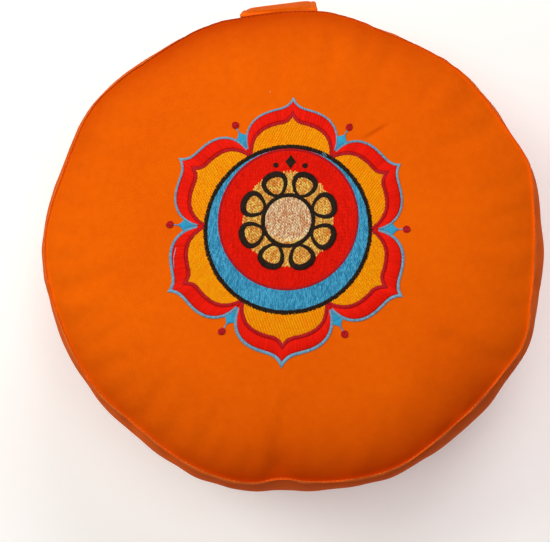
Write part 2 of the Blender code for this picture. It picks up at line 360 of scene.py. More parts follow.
def effect_node(board: NodeBoard, effect: Effect, inputs: dict) -> bpy.types.Node:
    """Place a shared effect in a material, made the first time it is asked for."""
    tree = bpy.data.node_groups.get(effect.value) or EFFECT_MAKERS[effect]()
    node = board.add("ShaderNodeGroup", node_tree=tree)
    for name, value in inputs.items():
        board.feed(node.inputs[name], value)
    return node


def new_material(name: str) -> tuple[bpy.types.Material, NodeBoard, bpy.types.Node]:
    """A material, the board of its nodes, and its shader."""
    material = bpy.data.materials.new(name)
    material.use_nodes = True
    board = NodeBoard(material.node_tree)
    return material, board, material.node_tree.nodes["Principled BSDF"]


@dataclass(frozen=True)
class TwillFinish:
    """Brushed cotton twill, dyed orange, paler on ridge crests and strap edges as wear and painted highlight, and
    darker beside the seams as painted shade.
    """

    name: str
    deep: Colour = srgb(206, 68, 2)
    full: Colour = srgb(252, 111, 6)
    shade_colour: Colour = srgb(176, 36, 2)
    lit_and_worn: Colour = srgb(252, 122, 32)
    rib_pitch: float = 1.15 * MM
    lean_deg: float = 47.0
    weave_depth: float = 0.09 * MM
    roughness: float = 0.82

    def material(self) -> bpy.types.Material:
        """Make the finish as a material that reads the cloth's own run.

        Returns:
            The material.
        """
        material, board, shader = new_material(self.name)
        run = board.add("ShaderNodeUVMap", uv_map="cloth_run").outputs[0]
        place = board.add("ShaderNodeTexCoord").outputs["Object"]
        weave_values = {"Run": run, "Rib Pitch": self.rib_pitch, "Lean": math.radians(self.lean_deg)}
        weave = effect_node(board, Effect.TWILL, weave_values)
        mottle = effect_node(board, Effect.MOTTLE, {"Place": place, "Patch Scale": 15.0}).outputs["Mottle"]
        lightening = board.add("ShaderNodeAttribute", attribute_name="crest_wear_and_highlight").outputs["Fac"]
        dye_and_shade = board.maths("MULTIPLY_ADD", weave.outputs["Tone"], 0.52, board.maths("MULTIPLY", mottle, 0.8))
        colour = board.mix(dye_and_shade, self.deep, self.full)
        # painted shade: the colour darkens towards the deep shade colour beside the seams, in the creases and towards
        # the lower right
        kept = board.add("ShaderNodeAttribute", attribute_name="painted_shade_and_tone").outputs["Fac"]
        colour = board.mix(kept, colour, self.shade_colour)
        # paler ridge crests and strap edges: partly wear, partly painted highlight
        lightened = board.maths("MULTIPLY", lightening, board.spread(board.noise(place, 380.0), 0.1, 1.4))
        board.feed(shader.inputs["Base Color"], board.mix(lightened, colour, self.lit_and_worn))
        rough = board.spread(mottle, self.roughness - 0.08, self.roughness + 0.08)
        board.feed(shader.inputs["Roughness"], rough)
        bump = board.add("ShaderNodeBump", {"Height": weave.outputs["Height"]})
        bump.inputs["Strength"].default_value = 1.0
        bump.inputs["Distance"].default_value = self.weave_depth
        board.feed(shader.inputs["Normal"], bump.outputs[0])
        shader.inputs["Specular IOR Level"].default_value = 0.04
        shader.inputs["Specular Tint"].default_value = srgb(255, 168, 72)
        shader.inputs["Sheen Weight"].default_value = 0.03
        shader.inputs["Sheen Roughness"].default_value = 0.45
        shader.inputs["Sheen Tint"].default_value = srgb(255, 140, 40)
        return material


@dataclass(frozen=True)
class ThreadFinish:
    """Glossy embroidery thread of one colour, each stitch a little lighter or darker."""

    name: str
    dark: Colour
    light: Colour
    roughness: float = 0.46
    gloss: float = 0.22
    twist_depth: float = 0.03 * MM

    def material(self) -> bpy.types.Material:
        """Make the finish as a material that reads each stitch's own run and tint.

        Returns:
            The material.
        """
        material, board, shader = new_material(self.name)
        run = board.add("ShaderNodeAttribute", attribute_name="thread_run").outputs["Vector"]
        tint = board.add("ShaderNodeAttribute", attribute_name="thread_tint").outputs["Fac"]
        thread = effect_node(board, Effect.THREAD, {"Run": run, "Tint": tint})
        place = board.add("ShaderNodeTexCoord").outputs["Object"]
        mottle = effect_node(board, Effect.MOTTLE, {"Place": place, "Patch Scale": 60.0}).outputs["Mottle"]
        tone = board.maths("MULTIPLY_ADD", mottle, 0.3, board.maths("MULTIPLY", thread.outputs["Tone"], 0.8))
        board.feed(shader.inputs["Base Color"], board.mix(tone, self.dark, self.light))
        board.feed(shader.inputs["Roughness"], board.spread(mottle, self.roughness - 0.06, self.roughness + 0.1))
        bump = board.add("ShaderNodeBump", {"Height": thread.outputs["Height"]})
        bump.inputs["Distance"].default_value = self.twist_depth
        board.feed(shader.inputs["Normal"], bump.outputs[0])
        shader.inputs["Specular IOR Level"].default_value = self.gloss
        shader.inputs["Specular Tint"].default_value = tuple(0.2 + part * 0.8 for part in self.light[:3]) + (1.0,)
        return material


def backing_finish(thread: ThreadFinish, shade: float = 0.55) -> ThreadFinish:
    """The duller finish of the under-stitching below a fill, darkened as painted shade for the gaps between stitches.
    """
    red, green, blue, alpha = thread.dark
    deep = (red * shade, green * shade, blue * shade, alpha)
    return ThreadFinish(thread.name + "_backing", deep, thread.dark, roughness=0.75, gloss=0.2)


BLUE = ThreadFinish("thread_blue", srgb(22, 112, 162), srgb(94, 196, 234))
PALE_BLUE = ThreadFinish("thread_pale_blue", srgb(58, 122, 154), srgb(146, 192, 220))
BRIGHT_BLUE = ThreadFinish("thread_bright_blue", srgb(24, 126, 178), srgb(70, 182, 220))
RED = ThreadFinish("thread_red", srgb(206, 14, 4), srgb(254, 34, 12))
DARK_RED = ThreadFinish("thread_dark_red", srgb(152, 16, 24), srgb(206, 38, 44))
YELLOW = ThreadFinish("thread_yellow", srgb(255, 126, 0), srgb(255, 188, 12))
GOLD = ThreadFinish("thread_gold", srgb(218, 98, 2), srgb(255, 232, 120))
CREAM = ThreadFinish("thread_cream", srgb(212, 124, 60), srgb(255, 246, 206))
BLACK = ThreadFinish("thread_black", srgb(18, 12, 10), srgb(56, 42, 34), gloss=0.25)
SEAM_THREAD = ThreadFinish("thread_seam_orange", srgb(224, 98, 16), srgb(250, 142, 58))


# ---------------------------------------------------------------- the sewn cover


@dataclass
class PackedCushion:
    """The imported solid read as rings, from the crown round to the flat of the base."""

    node: str = "cushion"
    sectors: int = 108
    inside: tuple[float, float] = (0.08, 0.08)
    pole_reach: float = 0.0001

    def rings(self) -> tuple[float, Array]:
        """Sort the solid's points into rings.

        Returns:
            The height of the crown's middle, and radius and height by ring and sector.
        """
        points = welded_points(self.node)
        radius = np.hypot(points[:, 0], points[:, 1])
        poles = points[radius < self.pole_reach]
        body = points[radius >= self.pole_reach]
        radius = radius[radius >= self.pole_reach]
        bearing = np.degrees(np.arctan2(body[:, 1], body[:, 0]))
        sector = np.round(bearing * self.sectors / 360.0).astype(int) % self.sectors
        turn = np.arctan2(body[:, 2] - self.inside[1], radius - self.inside[0])
        rows = np.stack([radius, body[:, 2]], 1)
        spokes = [rows[sector == k][np.argsort(-turn[sector == k])] for k in range(self.sectors)]
        full = max(len(spoke) for spoke in spokes)
        for k, spoke in enumerate(spokes):
            if len(spoke) < full:  # a point is left out where the flat of the base runs straight
                after = spokes[(k + 1) % self.sectors]
                spokes[k] = np.concatenate([spoke, (spokes[k - 1][-1:] + after[-1:]) / 2.0])
        return float(poles[:, 2].max()), np.stack(spokes, 1)


class Cloth(Enum):
    """The three cut pieces of the cover, which lay their weave differently."""

    PANEL = "upper panel"
    WALL = "side wall"
    BASE = "under panel"


@dataclass
class CushionCover:
    """The twill cover: both panels, the side wall and the two seam ridges, swollen over the filling."""

    cells: int = 72
    wall_steps: int = 34
    base_steps: int = 6
    ridge: tuple[tuple[float, float], ...] = (
        (0.78, -0.20),
        (0.64, 0.20),
        (0.56, 0.80),
        (0.30, 1.12),
        (-0.10, 1.12),
        (-0.44, 0.80),
        (-0.56, 0.20),
        (-0.76, -0.12),
    )
    panel_rings: int = 12
    mean_radius: float = 0.158
    swell: float = 4.4 * MM
    dome: float = 2.4 * MM
    gather: float = 0.75 * MM
    wall_fold: float = 0.32 * MM
    slack_near_seam: float = -0.045
    slack_elsewhere: float = -0.004
    held_width: float = 0.003
    slack_width: float = 0.030
    pressure: float = 6.0
    frames: int = 22
    reach: float = 0.006
    swell_kept: float = 0.4
    ridge_waver: float = 0.5 * MM
    belly_waves: float = 6.0
    painted_shade_width: float = 16.0 * MM
    strap_bearing_deg: float = 92.3
    seed: int = 11
    finish: TwillFinish = TwillFinish("cover_twill")
    points: list[Array] = field(default_factory=list)
    faces: list[list[int]] = field(default_factory=list)
    runs: list[Array] = field(default_factory=list)
    rings: dict[str, Array] = field(default_factory=dict)

    @property
    def sectors(self) -> int:
        """Points once round a ring."""
        return 4 * self.cells

    @property
    def turns(self) -> Array:
        """Places of a ring's points, where 1.0 is once round."""
        return np.arange(self.sectors) / self.sectors

    def net(self) -> Array:
        """Lay a square net over a disc of radius 1, so that the panel has no pinched middle.

        Returns:
            The net's knots, one a row.
        """
        side = np.linspace(-1.0, 1.0, self.cells + 1)
        a, b = np.meshgrid(side, side, indexing="ij")
        wide = np.abs(a) >= np.abs(b)
        reach = np.where(wide, a, b)
        turned = np.where(wide, b / np.where(a == 0, 1, a), 2.0 - a / np.where(b == 0, 1, b))
        angle = math.pi / 4.0 * turned
        net = np.stack([reach * np.cos(angle), reach * np.sin(angle)], -1)
        for _ in range(40):
            net[1:-1, 1:-1] = (net[:-2, 1:-1] + net[2:, 1:-1] + net[1:-1, :-2] + net[1:-1, 2:]) / 4.0
        return net.reshape(-1, 2)

    def panel_points(self, crown: float, rings: Array) -> Array:
        """The net's points on the upper panel.

        Args:
            crown: height of the panel's middle.
            rings: radius and height by ring and sector, out to the seam.

        Returns:
            One point a row.
        """
        net = self.net()
        share = np.hypot(net[:, 0], net[:, 1])
        turns = np.arctan2(net[:, 1], net[:, 0]) / TURN
        knots = np.concatenate([[0.0], (rings[:, :, 0] / rings[-1, :, 0]).mean(1)])
        heights = np.stack([np.full(len(net), crown)] + [read_round(ring[:, 1], turns) for ring in rings])
        slopes = slopes_at(knots, heights)
        slopes[0] = (heights[1] - read_round(rings[0][:, 1], turns + 0.5)) / (2.0 * knots[1])
        index = np.clip(np.searchsorted(knots, share, side="right") - 1, 0, len(knots) - 2)
        column = np.arange(len(net))
        span = knots[index + 1] - knots[index]
        part = (share - knots[index]) / span
        height = hermite(
            heights[index, column],
            heights[index + 1, column],
            slopes[index, column],
            slopes[index + 1, column],
            part,
            span,
        )
        puff = np.clip((share - 0.5) / 0.5, 0.0, 1.0)
        height = height + self.swell * 6.75 * (puff**2 - puff**3) + self.dome * (1.0 - share**3)
        radius = share * read_round(rings[-1][:, 0], turns)
        return np.stack([radius * np.cos(turns * TURN), radius * np.sin(turns * TURN), height], 1)

    def ring_points(self, ring: Array) -> Array:
        """The points of a ring of radius and height."""
        angle = self.turns * TURN
        return np.stack([ring[:, 0] * np.cos(angle), ring[:, 0] * np.sin(angle), ring[:, 1]], 1)

    def ridge_rings(self, feet: Array, crests: Array) -> list[Array]:
        """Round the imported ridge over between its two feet."""
        middle, across = (feet[0] + feet[1]) / 2.0, (feet[0] - feet[1]) / 2.0
        out = (crests[0] + crests[1]) / 2.0 - middle
        return [middle + across * side + out * rise for side, rise in self.ridge]

    def add_points(self, points: Array) -> Array:
        """Keep points and give their numbers."""
        first = sum(len(kept) for kept in self.points)
        self.points.append(points)
        return np.arange(first, first + len(points))

    def band(self, upper: Array, lower: Array, cloth: Cloth, run: tuple[float, float]) -> None:
        """Join two rings of points with faces, and lay the weave over them.

        Args:
            upper: numbers of the ring nearer the crown.
            lower: numbers of the next ring.
            cloth: which cut piece they are part of.
            run: length down the cut piece at both rings.
        """
        everything = np.concatenate(self.points)
        for k in range(self.sectors):
            n = (k + 1) % self.sectors
            face = [int(upper[k]), int(lower[k]), int(lower[n]), int(upper[n])]
            self.faces.append(face)
            if cloth is Cloth.WALL:
                left, right = (TURN * self.mean_radius * (k + step) / self.sectors for step in (0, 1))
                self.runs.append(np.array([[left, run[0]], [left, run[1]], [right, run[1]], [right, run[0]]]))
            else:
                self.runs.append(everything[face, :2])

    def lay_out(self) -> bpy.types.Object:
        """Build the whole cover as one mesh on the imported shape, open only in the flat of its base.

        Returns:
            The cover.
        """
        crown, packed = PackedCushion().rings()
        fine = np.stack([read_round(ring, self.turns) for ring in packed])
        panel_count, wall_first = self.panel_rings, self.panel_rings + 3
        base_first = len(packed) - 5
        panel = self.add_points(self.panel_points(crown, packed[:panel_count]))
        size = self.cells + 1
        for i in range(self.cells):
            for j in range(self.cells):
                corner = i * size + j
                self.faces.append([corner, corner + size, corner + size + 1, corner + 1])
                self.runs.append(self.points[0][self.faces[-1], :2])
        net = self.net()
        rim = np.flatnonzero(np.hypot(net[:, 0], net[:, 1]) > 1.0 - 1e-6)
        rim_turn = np.round(np.arctan2(net[rim, 1], net[rim, 0]) / TURN * self.sectors).astype(int) % self.sectors
        above = panel[rim[np.argsort(rim_turn)]]
        self.rings["upper_inner_foot"] = above
        run = -0.004
        steps = self.upper_to_base(fine, wall_first, base_first)
        ridges: dict[str, list[Array]] = {}
        for name, cloth, ring in steps:
            here = self.add_points(self.ring_points(ring))
            everything = np.concatenate(self.points)
            further = run + float(np.linalg.norm(everything[here] - everything[above], axis=1).mean())
            self.band(above, here, cloth, (run, further))
            run, above = further, here
            if name.endswith("ridge"):
                ridges.setdefault(name, []).append(here)
            elif name:
                self.rings[name] = here
        self.rings.update({name: np.array(rings) for name, rings in ridges.items()})
        points = self.gathered(self.draw_in(np.concatenate(self.points)))
        cover = mesh_object("cushion_cover", points, self.faces)
        layer = cover.data.uv_layers.new(name="cloth_run")
        layer.data.foreach_set("uv", np.concatenate(self.runs).ravel())
        return cover

    def upper_to_base(self, fine: Array, wall_first: int, base_first: int) -> list[tuple[str, Cloth, Array]]:
        """Every ring below the upper panel, in order, with its name and the cut piece that ends in it.

        Args:
            fine: radius and height by packed ring and fine sector.
            wall_first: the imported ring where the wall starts.
            base_first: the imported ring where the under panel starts.

        Returns:
            A name or nothing, the cut piece, and the ring's radius and height.
        """
        steps: list[tuple[str, Cloth, Array]] = []
        upper = self.ridge_rings(fine[[wall_first - 3, wall_first]], fine[[wall_first - 2, wall_first - 1]])
        half = len(upper) // 2
        for index, ring in enumerate(upper):
            steps.append(("upper_ridge", Cloth.PANEL if index < half else Cloth.WALL, ring))
        wall = fine[wall_first : base_first - 2]
        knots = run_length(wall.mean(1))
        ease = np.linspace(0.0, 1.0, self.wall_steps + 1)
        places = knots[-1] * (ease - 0.05 * np.sin(TURN * ease))
        for index, ring in enumerate(read_curve(knots, wall, places)):
            name = {0: "upper_outer_foot", self.wall_steps: "lower_outer_foot"}.get(index, f"wall_{index}")
            steps.append((name, Cloth.WALL, ring))
        feet, crests = fine[[base_first - 3, base_first]], fine[[base_first - 2, base_first - 1]]
        for index, ring in enumerate(self.ridge_rings(feet, crests)):
            steps.append(("lower_ridge", Cloth.WALL if index < half else Cloth.BASE, ring))
        base = fine[base_first:]
        knots = run_length(base.mean(1))
        for index, ring in enumerate(read_curve(knots, base, np.linspace(0.0, knots[-1], self.base_steps + 1))):
            steps.append(("lower_inner_foot" if index == 0 else "", Cloth.BASE, ring))
        return steps

    def free_of_strap(self, turns: Array) -> Array:
        """1 all round the cushion, and 0 where the strap crosses the wall."""
        from_strap = (turns * 360.0 - self.strap_bearing_deg + 180.0) % 360.0 - 180.0
        return 1.0 - np.exp(-((from_strap / 13.0) ** 4))

    def draw_in(self, points: Array) -> Array:
        """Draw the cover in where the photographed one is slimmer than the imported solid.

        Args:
            points: the cover's points.

        Returns:
            Where they are drawn to.
        """
        turns = np.arctan2(points[:, 1], points[:, 0]) / TURN
        radius = np.hypot(points[:, 0], points[:, 1])
        up = np.clip(points[:, 2] / 0.15, 0.0, 1.0)
        seam = (
            read_round(np.array(SEAM_DRAWN_IN) * MM, turns)
            * (radius / 0.155) ** 3
            * smooth_step(points[:, 2] / 0.05)
        )
        belly = points[self.rings[f"wall_{self.wall_steps // 2}"]]
        girth = np.hypot(belly[:, 0], belly[:, 1])
        waves = np.fft.rfft(girth)
        waves *= np.exp(-((np.arange(len(waves)) / self.belly_waves) ** 2))
        smoothed = read_round(girth - np.fft.irfft(waves, len(girth)), turns) * self.free_of_strap(turns)
        wall = read_round(np.array(WALL_DRAWN_IN) * MM, turns) + smoothed
        wall *= np.sin(math.pi * up) ** 2 * (radius > 0.151)
        below = np.arange(len(points)) >= self.rings["upper_outer_foot"][0]
        shoulder = read_round(np.array(SHOULDER_DRAWN_IN) * MM, turns) * below
        shoulder *= np.exp(-(((points[:, 2] - 0.134) / 0.016) ** 2))
        drawn = points.copy()
        drawn[:, :2] *= (1.0 - (seam + wall + shoulder) / np.maximum(radius, 0.02))[:, None]
        return drawn

    def ripple(self, turns: Array, counts: tuple[int, ...]) -> Array:
        """An uneven wave round the cushion, between about -1 and 1."""
        random = np.random.default_rng(self.seed + len(counts))
        wave = sum(np.sin(TURN * (turns * n + random.uniform())) * random.uniform(0.5, 1.0) for n in counts)
        return wave / len(counts) ** 0.5

    def gathered(self, points: Array) -> Array:
        """Start the gathers along both seams and the soft folds of the wall.

        Args:
            points: the cover's points.

        Returns:
            Where they are moved to.
        """
        away = self.seam_distance(points)
        turns = np.arctan2(points[:, 1], points[:, 0]) / TURN
        near = (away / 0.009) * np.exp(1.0 - away / 0.009)
        near = near**1.5 * smooth_step((away - 0.0015) / 0.003)
        upper = points[:, 2] > points[self.rings["upper_ridge"][3], 2].min() - 0.004
        panel = self.ripple(turns, (23, 31, 38, 47)) * self.gather * near
        twist = turns + (points[:, 2] - 0.08) * 0.28
        wall = self.ripple(turns + 0.3, (37, 47, 58)) * self.gather * 1.1 * near
        wall += self.ripple(twist, (14, 19, 25, 32, 39)) * self.wall_fold * np.clip(points[:, 2] / 0.04, 0.0, 1.0)
        wall *= self.free_of_strap(turns) * smooth_step((away - 0.0015) / 0.012) * (points[:, 2] > 0.012)
        moved = points.copy()
        moved[:, 2] += np.where(upper, panel, 0.0)
        spoke = points[:, :2] / np.maximum(np.hypot(points[:, 0], points[:, 1]), 0.02)[:, None]
        moved[:, :2] += spoke * np.where(upper, 0.0, wall)[:, None]
        return moved

    def seam_distance(self, points: Array) -> Array:
        """How far each point of the panel and the wall lies from the nearest seam line."""
        seams = np.concatenate([points[self.rings["upper_ridge"][3]], points[self.rings["lower_ridge"][3]]])
        nearest = np.full(len(points), np.inf)
        for seam in np.array_split(seams, 24):
            gaps = np.linalg.norm(points[:, None, :] - seam[None, :, :], axis=2)
            nearest = np.minimum(nearest, gaps.min(1))
        return nearest

    def settle(self, cover: bpy.types.Object) -> None:
        """Let the cloth swell and gather against its seams, and keep the move within reach.

        Args:
            cover: the cover as it is laid out.
        """
        start = positions(cover)
        away = self.seam_distance(start)
        lowest = start[:, 2] < start[self.rings["lower_outer_foot"], 2].max() * 1.02
        bearing = np.degrees(np.arctan2(start[:, 1], start[:, 0])) - self.strap_bearing_deg
        behind = (np.abs(bearing) < 12.0) & (np.hypot(start[:, 0], start[:, 1]) > 0.14)
        held = (away < self.held_width) | lowest | behind
        slack = smooth_step((away - self.held_width) / 0.004)
        slack *= 1.0 - smooth_step((away - 0.012) / self.slack_width)
        pins = cover.vertex_groups.new(name="held")
        pins.add(np.flatnonzero(held).tolist(), 1.0, "REPLACE")
        eased = cover.vertex_groups.new(name="slack")
        for level in range(1, 11):
            chosen = np.flatnonzero(np.round(slack * 10) == level)
            eased.add(chosen.tolist(), level / 10.0, "REPLACE")
        cloth = cover.modifiers.new("Swell", "CLOTH")
        cloth.settings.quality = 7
        cloth.settings.mass = 0.25
        cloth.settings.tension_stiffness = 18.0
        cloth.settings.compression_stiffness = 18.0
        cloth.settings.shear_stiffness = 6.0
        cloth.settings.bending_stiffness = 0.6
        cloth.settings.air_damping = 2.0
        cloth.settings.vertex_group_mass = "held"
        cloth.settings.vertex_group_shrink = "slack"
        cloth.settings.shrink_min = self.slack_elsewhere
        cloth.settings.shrink_max = self.slack_near_seam
        cloth.settings.use_pressure = True
        cloth.settings.uniform_pressure_force = self.pressure
        cloth.settings.effector_weights.gravity = 0.0
        cloth.collision_settings.use_collision = False
        cloth.collision_settings.use_self_collision = False
        cloth.point_cache.frame_start, cloth.point_cache.frame_end = 1, self.frames
        scene = bpy.context.scene
        for number in range(1, self.frames + 1):
            scene.frame_set(number)
        settled = cover.evaluated_get(bpy.context.evaluated_depsgraph_get())
        moved = positions(settled) - start
        cover.modifiers.remove(cloth)
        scene.frame_set(1)
        cover.vertex_groups.clear()
        set_positions(cover, start + self.kept_move(cover, moved))

    def kept_move(self, cover: bpy.types.Object, moved: Array) -> Array:
        """Keep the gathers whole and only part of the even swelling, all within reach.

        Args:
            cover: the mesh that was settled.
            moved: how far the simulation moved each point.

        Returns:
            How far each point is to move.
        """
        edges = np.empty(len(cover.data.edges) * 2, dtype=np.int64)
        cover.data.edges.foreach_get("vertices", edges)
        first, second = edges.reshape(-1, 2).T
        count = np.bincount(edges, minlength=len(moved))[:, None]
        broad = moved.copy()
        for _ in range(60):
            total = np.zeros_like(broad)
            np.add.at(total, first, broad[second])
            np.add.at(total, second, broad[first])
            broad = 0.5 * broad + 0.5 * total / count
        kept = moved - (1.0 - self.swell_kept) * broad
        still = np.linalg.norm(moved, axis=1) < 1e-9
        kept[still] = 0.0
        length = np.linalg.norm(kept, axis=1, keepdims=True)
        log.info("settling moved the cloth by up to %.1f mm, kept %.1f mm", moved.max() / MM, length.max() / MM)
        return kept / np.sqrt(1.0 + (length / self.reach) ** 2)

    def waver_ridges(self, cover: bpy.types.Object) -> None:
        """Let the seam ridges wander a little, as a turned seam does.

        Args:
            cover: the settled cover.
        """
        points = positions(cover)
        random = np.random.default_rng(self.seed)
        for prefix in ("upper", "lower"):
            wave = np.zeros(self.sectors)
            for count in (17, 29, 41, 58, 83, 107, 121, 133):
                wave += np.sin(self.turns * TURN * count + random.uniform(0, TURN)) * random.uniform(0.3, 1.0)
            wave *= self.ridge_waver / np.abs(wave).max()
            for ring, (_, rise) in zip(self.rings[f"{prefix}_ridge"], self.ridge):
                share = max(rise, 0.0)
                spoke = points[ring, :2] / np.linalg.norm(points[ring, :2], axis=1, keepdims=True)
                points[ring, :2] += spoke * (wave * share)[:, None]
                points[ring, 2] += np.roll(wave, 9) * share * 0.6
        set_positions(cover, points)

    def close_base(self, cover: bpy.types.Object) -> None:
        """Close the flat middle of the under panel, and lay its weave.

        Args:
            cover: the cover, open only there.
        """
        only_select(cover)
        bpy.ops.object.mode_set(mode="EDIT")
        bpy.ops.mesh.select_mode(type="VERT")
        bpy.ops.mesh.select_all(action="DESELECT")
        bpy.ops.mesh.select_non_manifold()
        bpy.ops.mesh.edge_face_add()
        bpy.ops.object.mode_set(mode="OBJECT")
        closing = cover.data.polygons[-1]
        layer = cover.data.uv_layers["cloth_run"]
        for index in closing.loop_indices:
            layer.data[index].uv = cover.data.vertices[cover.data.loops[index].vertex_index].co[:2]
        if closing.normal.z > 0:
            closing.flip()

    def crest_lightening(self, count: int) -> Array:
        """How much each point is lightened, partly as wear and partly as painted highlight: most on the crest of a
        ridge.
        """
        lightening = np.zeros(count)
        for prefix in ("upper", "lower"):
            for ring, (across, rise) in zip(self.rings[f"{prefix}_ridge"], self.ridge):
                lightening[ring] = smooth_step(rise / 0.8) * (1.0 if across > -0.2 else 0.3)
        return lightening

    def painted_shade_values(self, points: Array) -> Array:
        """Find how much painted shade darkens the cloth: most beside the seams, and more towards the lower right.

        Args:
            points: the cover's points.

        Returns:
            One share per point, 0 on the ridge crests.
        """
        turns = np.arctan2(points[:, 1], points[:, 0]) / TURN
        beside = read_round(np.array(PAINTED_SEAM_SHADE), turns) * np.exp(-self.seam_distance(points) / self.painted_shade_width)
        # painted shade: the panel darkens towards the lower right, away from the lights
        shaded = 0.035 + 0.035 * (points[:, :2] @ np.array([0.55, -0.83])) / self.mean_radius
        dye_and_shade = np.clip(beside + shaded, 0.0, 1.0)
        for prefix in ("upper", "lower"):
            for ring, (_, rise) in zip(self.rings[f"{prefix}_ridge"], self.ridge):
                dye_and_shade[ring] *= 1.0 - smooth_step((rise - 0.1) / 0.6)
        return dye_and_shade

    def refine_near(self, cover: bpy.types.Object, crease: tuple) -> None:
        """Divide the faces beside a sharp crease more finely.

        Args:
            cover: the cover.
            crease: the crease to come.
        """
        points = positions(cover)
        a, b = np.array(crease[0]) * MM, np.array(crease[1]) * MM
        share = np.clip(((points[:, :2] - a) @ (b - a)) / ((b - a) @ (b - a)), -0.2, 1.2)
        away = np.linalg.norm(points[:, :2] - a - share[:, None] * (b - a), axis=1)
        only_select(cover)
        bpy.ops.object.mode_set(mode="EDIT")
        bpy.ops.mesh.select_mode(type="VERT")
        bpy.ops.mesh.select_all(action="DESELECT")
        bpy.ops.object.mode_set(mode="OBJECT")
        cover.data.vertices.foreach_set("select", (away < 5.5 * MM) & (points[:, 2] > 0.14))
        bpy.ops.object.mode_set(mode="EDIT")
        bpy.ops.mesh.subdivide(number_cuts=3)
        bpy.ops.object.mode_set(mode="OBJECT")

    def crease(self, cover: bpy.types.Object) -> None:
        """Press the short creases that the filling leaves in the panel beside the lotus, and paint shade into their
        hollows.
        """
        self.refine_near(cover, PANEL_CREASES[0])
        points = positions(cover)
        dye_and_shade = np.empty(len(points))
        cover.data.attributes["painted_shade_and_tone"].data.foreach_get("value", dye_and_shade)
        upper = points[:, 2] > 0.14
        for start, end, depth, left, right in PANEL_CREASES:
            a, b = np.array(start) * MM, np.array(end) * MM
            line = b - a
            share = np.clip(((points[:, :2] - a) @ line) / (line @ line), 0.0, 1.0)
            off = points[:, :2] - a - share[:, None] * line
            width = np.where(off @ np.array([line[1], -line[0]]) > 0.0, right, left) * MM
            away = np.linalg.norm(off, axis=1)
            fade = np.sin(math.pi * np.clip(0.08 + 0.84 * share, 0.0, 1.0))
            points[:, 2] -= upper * depth * MM * fade * np.exp(-((away / width) ** 2))
            # painted shade along the hollow of each crease
            dye_and_shade = np.maximum(dye_and_shade, upper * 0.3 * depth * fade * np.exp(-((away / (left * MM)) ** 2)))
        set_positions(cover, points)
        cover.data.attributes["painted_shade_and_tone"].data.foreach_set("value", dye_and_shade)

    def build(self) -> bpy.types.Object:
        """Lay out, settle and finish the cover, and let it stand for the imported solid.

        Returns:
            The cover.
        """
        cover = self.lay_out()
        self.settle(cover)
        self.waver_ridges(cover)
        set_values(cover, "crest_wear_and_highlight", self.crest_lightening(len(cover.data.vertices)))
        set_values(cover, "painted_shade_and_tone", self.painted_shade_values(positions(cover)))
        finer = cover.modifiers.new("Finer cloth", "SUBSURF")
        finer.levels = finer.render_levels = 1
        finer.uv_smooth = "NONE"
        apply_modifiers(cover)
        self.close_base(cover)
        self.crease(cover)
        cover.data.materials.append(self.finish.material())
        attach(cover, BODY)
        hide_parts("cushion")
        return cover


# How far in the photographed seam and the middle of the wall lie, in millimetres, every 20 degrees from +X
SEAM_DRAWN_IN = (0.0, 0.0, 0.4, 0.4, 0.0, 0.0, 0.3, 1.3, 2.2, 2.2, 1.6, 0.0, -0.7, -0.2, 0.2, 0.0, 0.0, 0.5)
WALL_DRAWN_IN = (0.0, 0.3, 0.8, 0.4, 0.1, 0.1, 0.3, 0.8, 1.0, 1.0, 0.7, 1.1, 1.5, 3.5, 4.4, 1.8, 0.3, 0.6)
SHOULDER_DRAWN_IN = (0.3, 0.9, 1.4, 1.1, 0.6, 0.4, 0.9, 0.4, 0.8, 0.3, 0.0, 0.0, 0.0, 0.2, 0.3, 0.2, 0.0, 0.0)
# How much painted shade darkens the cloth beside the seams, every 20 degrees from +X
PAINTED_SEAM_SHADE = (0.0, 0.0, 0.0, 0.4, 0.58, 0.7, 0.7, 0.44, 0.2, 0.0, 0.18, 0.44, 0.5, 0.74, 0.78, 0.76, 0.66, 0.06)
# Creases beside the lotus, in millimetres: start and end seen from above, depth, width on the left and on the right
PANEL_CREASES = (
    ((45.6, 63.0), (62.6, 73.2), 0.85, 1.1, 4.5),
    ((-96.0, -58.0), (-84.0, -70.0), 0.5, 4.0, 4.0),
    ((88.0, -62.0), (104.0, -52.0), 0.6, 4.5, 4.5),
)


# ---------------------------------------------------------------- stitches


@dataclass(frozen=True)
class StitchForm:
    """One stitch as it is first modelled: a unit long and a unit in radius, rounded in at both ends."""

    sides: int = 5
    stations: tuple[tuple[float, float], ...] = ((0.0, 0.35), (0.1, 1.0), (0.5, 1.0), (0.9, 1.0), (1.0, 0.35))

    def model(self) -> "StitchShape":
        """Extrude a small disc through the stations.

        Returns:
            The stitch's points and faces.
        """
        bpy.ops.object.select_all(action="DESELECT")
        first = self.stations[0][1]
        bpy.ops.mesh.primitive_circle_add(vertices=self.sides, radius=first, fill_type="NGON", location=(0, 0, 0))
        obj = bpy.context.object
        bpy.ops.object.mode_set(mode="EDIT")
        bpy.ops.mesh.select_all(action="SELECT")
        for (before, size_before), (here, size) in zip(self.stations, self.stations[1:]):
            bpy.ops.mesh.extrude_region_move(TRANSFORM_OT_translate={"value": (0, 0, here - before)})
            ratio = size / size_before
            bpy.ops.transform.resize(value=(ratio, ratio, 1.0))
        bpy.ops.mesh.select_all(action="SELECT")
        bpy.ops.mesh.normals_make_consistent(inside=False)
        bpy.ops.object.mode_set(mode="OBJECT")
        points = positions(obj)
        faces = [list(face.vertices) for face in obj.data.polygons]
        bpy.data.objects.remove(obj, do_unlink=True)
        return StitchShape(points, faces)


@dataclass
class StitchShape:
    """The modelled stitch, ready to be copied."""

    points: Array
    faces: list[list[int]]


@dataclass
class StitchBatch:
    """Stitches laid in one go: where they start and end, which way is up, and how thick and arched they are."""

    starts: Array
    ends: Array
    ups: Array
    radius: float
    arch: float
    tints: Array


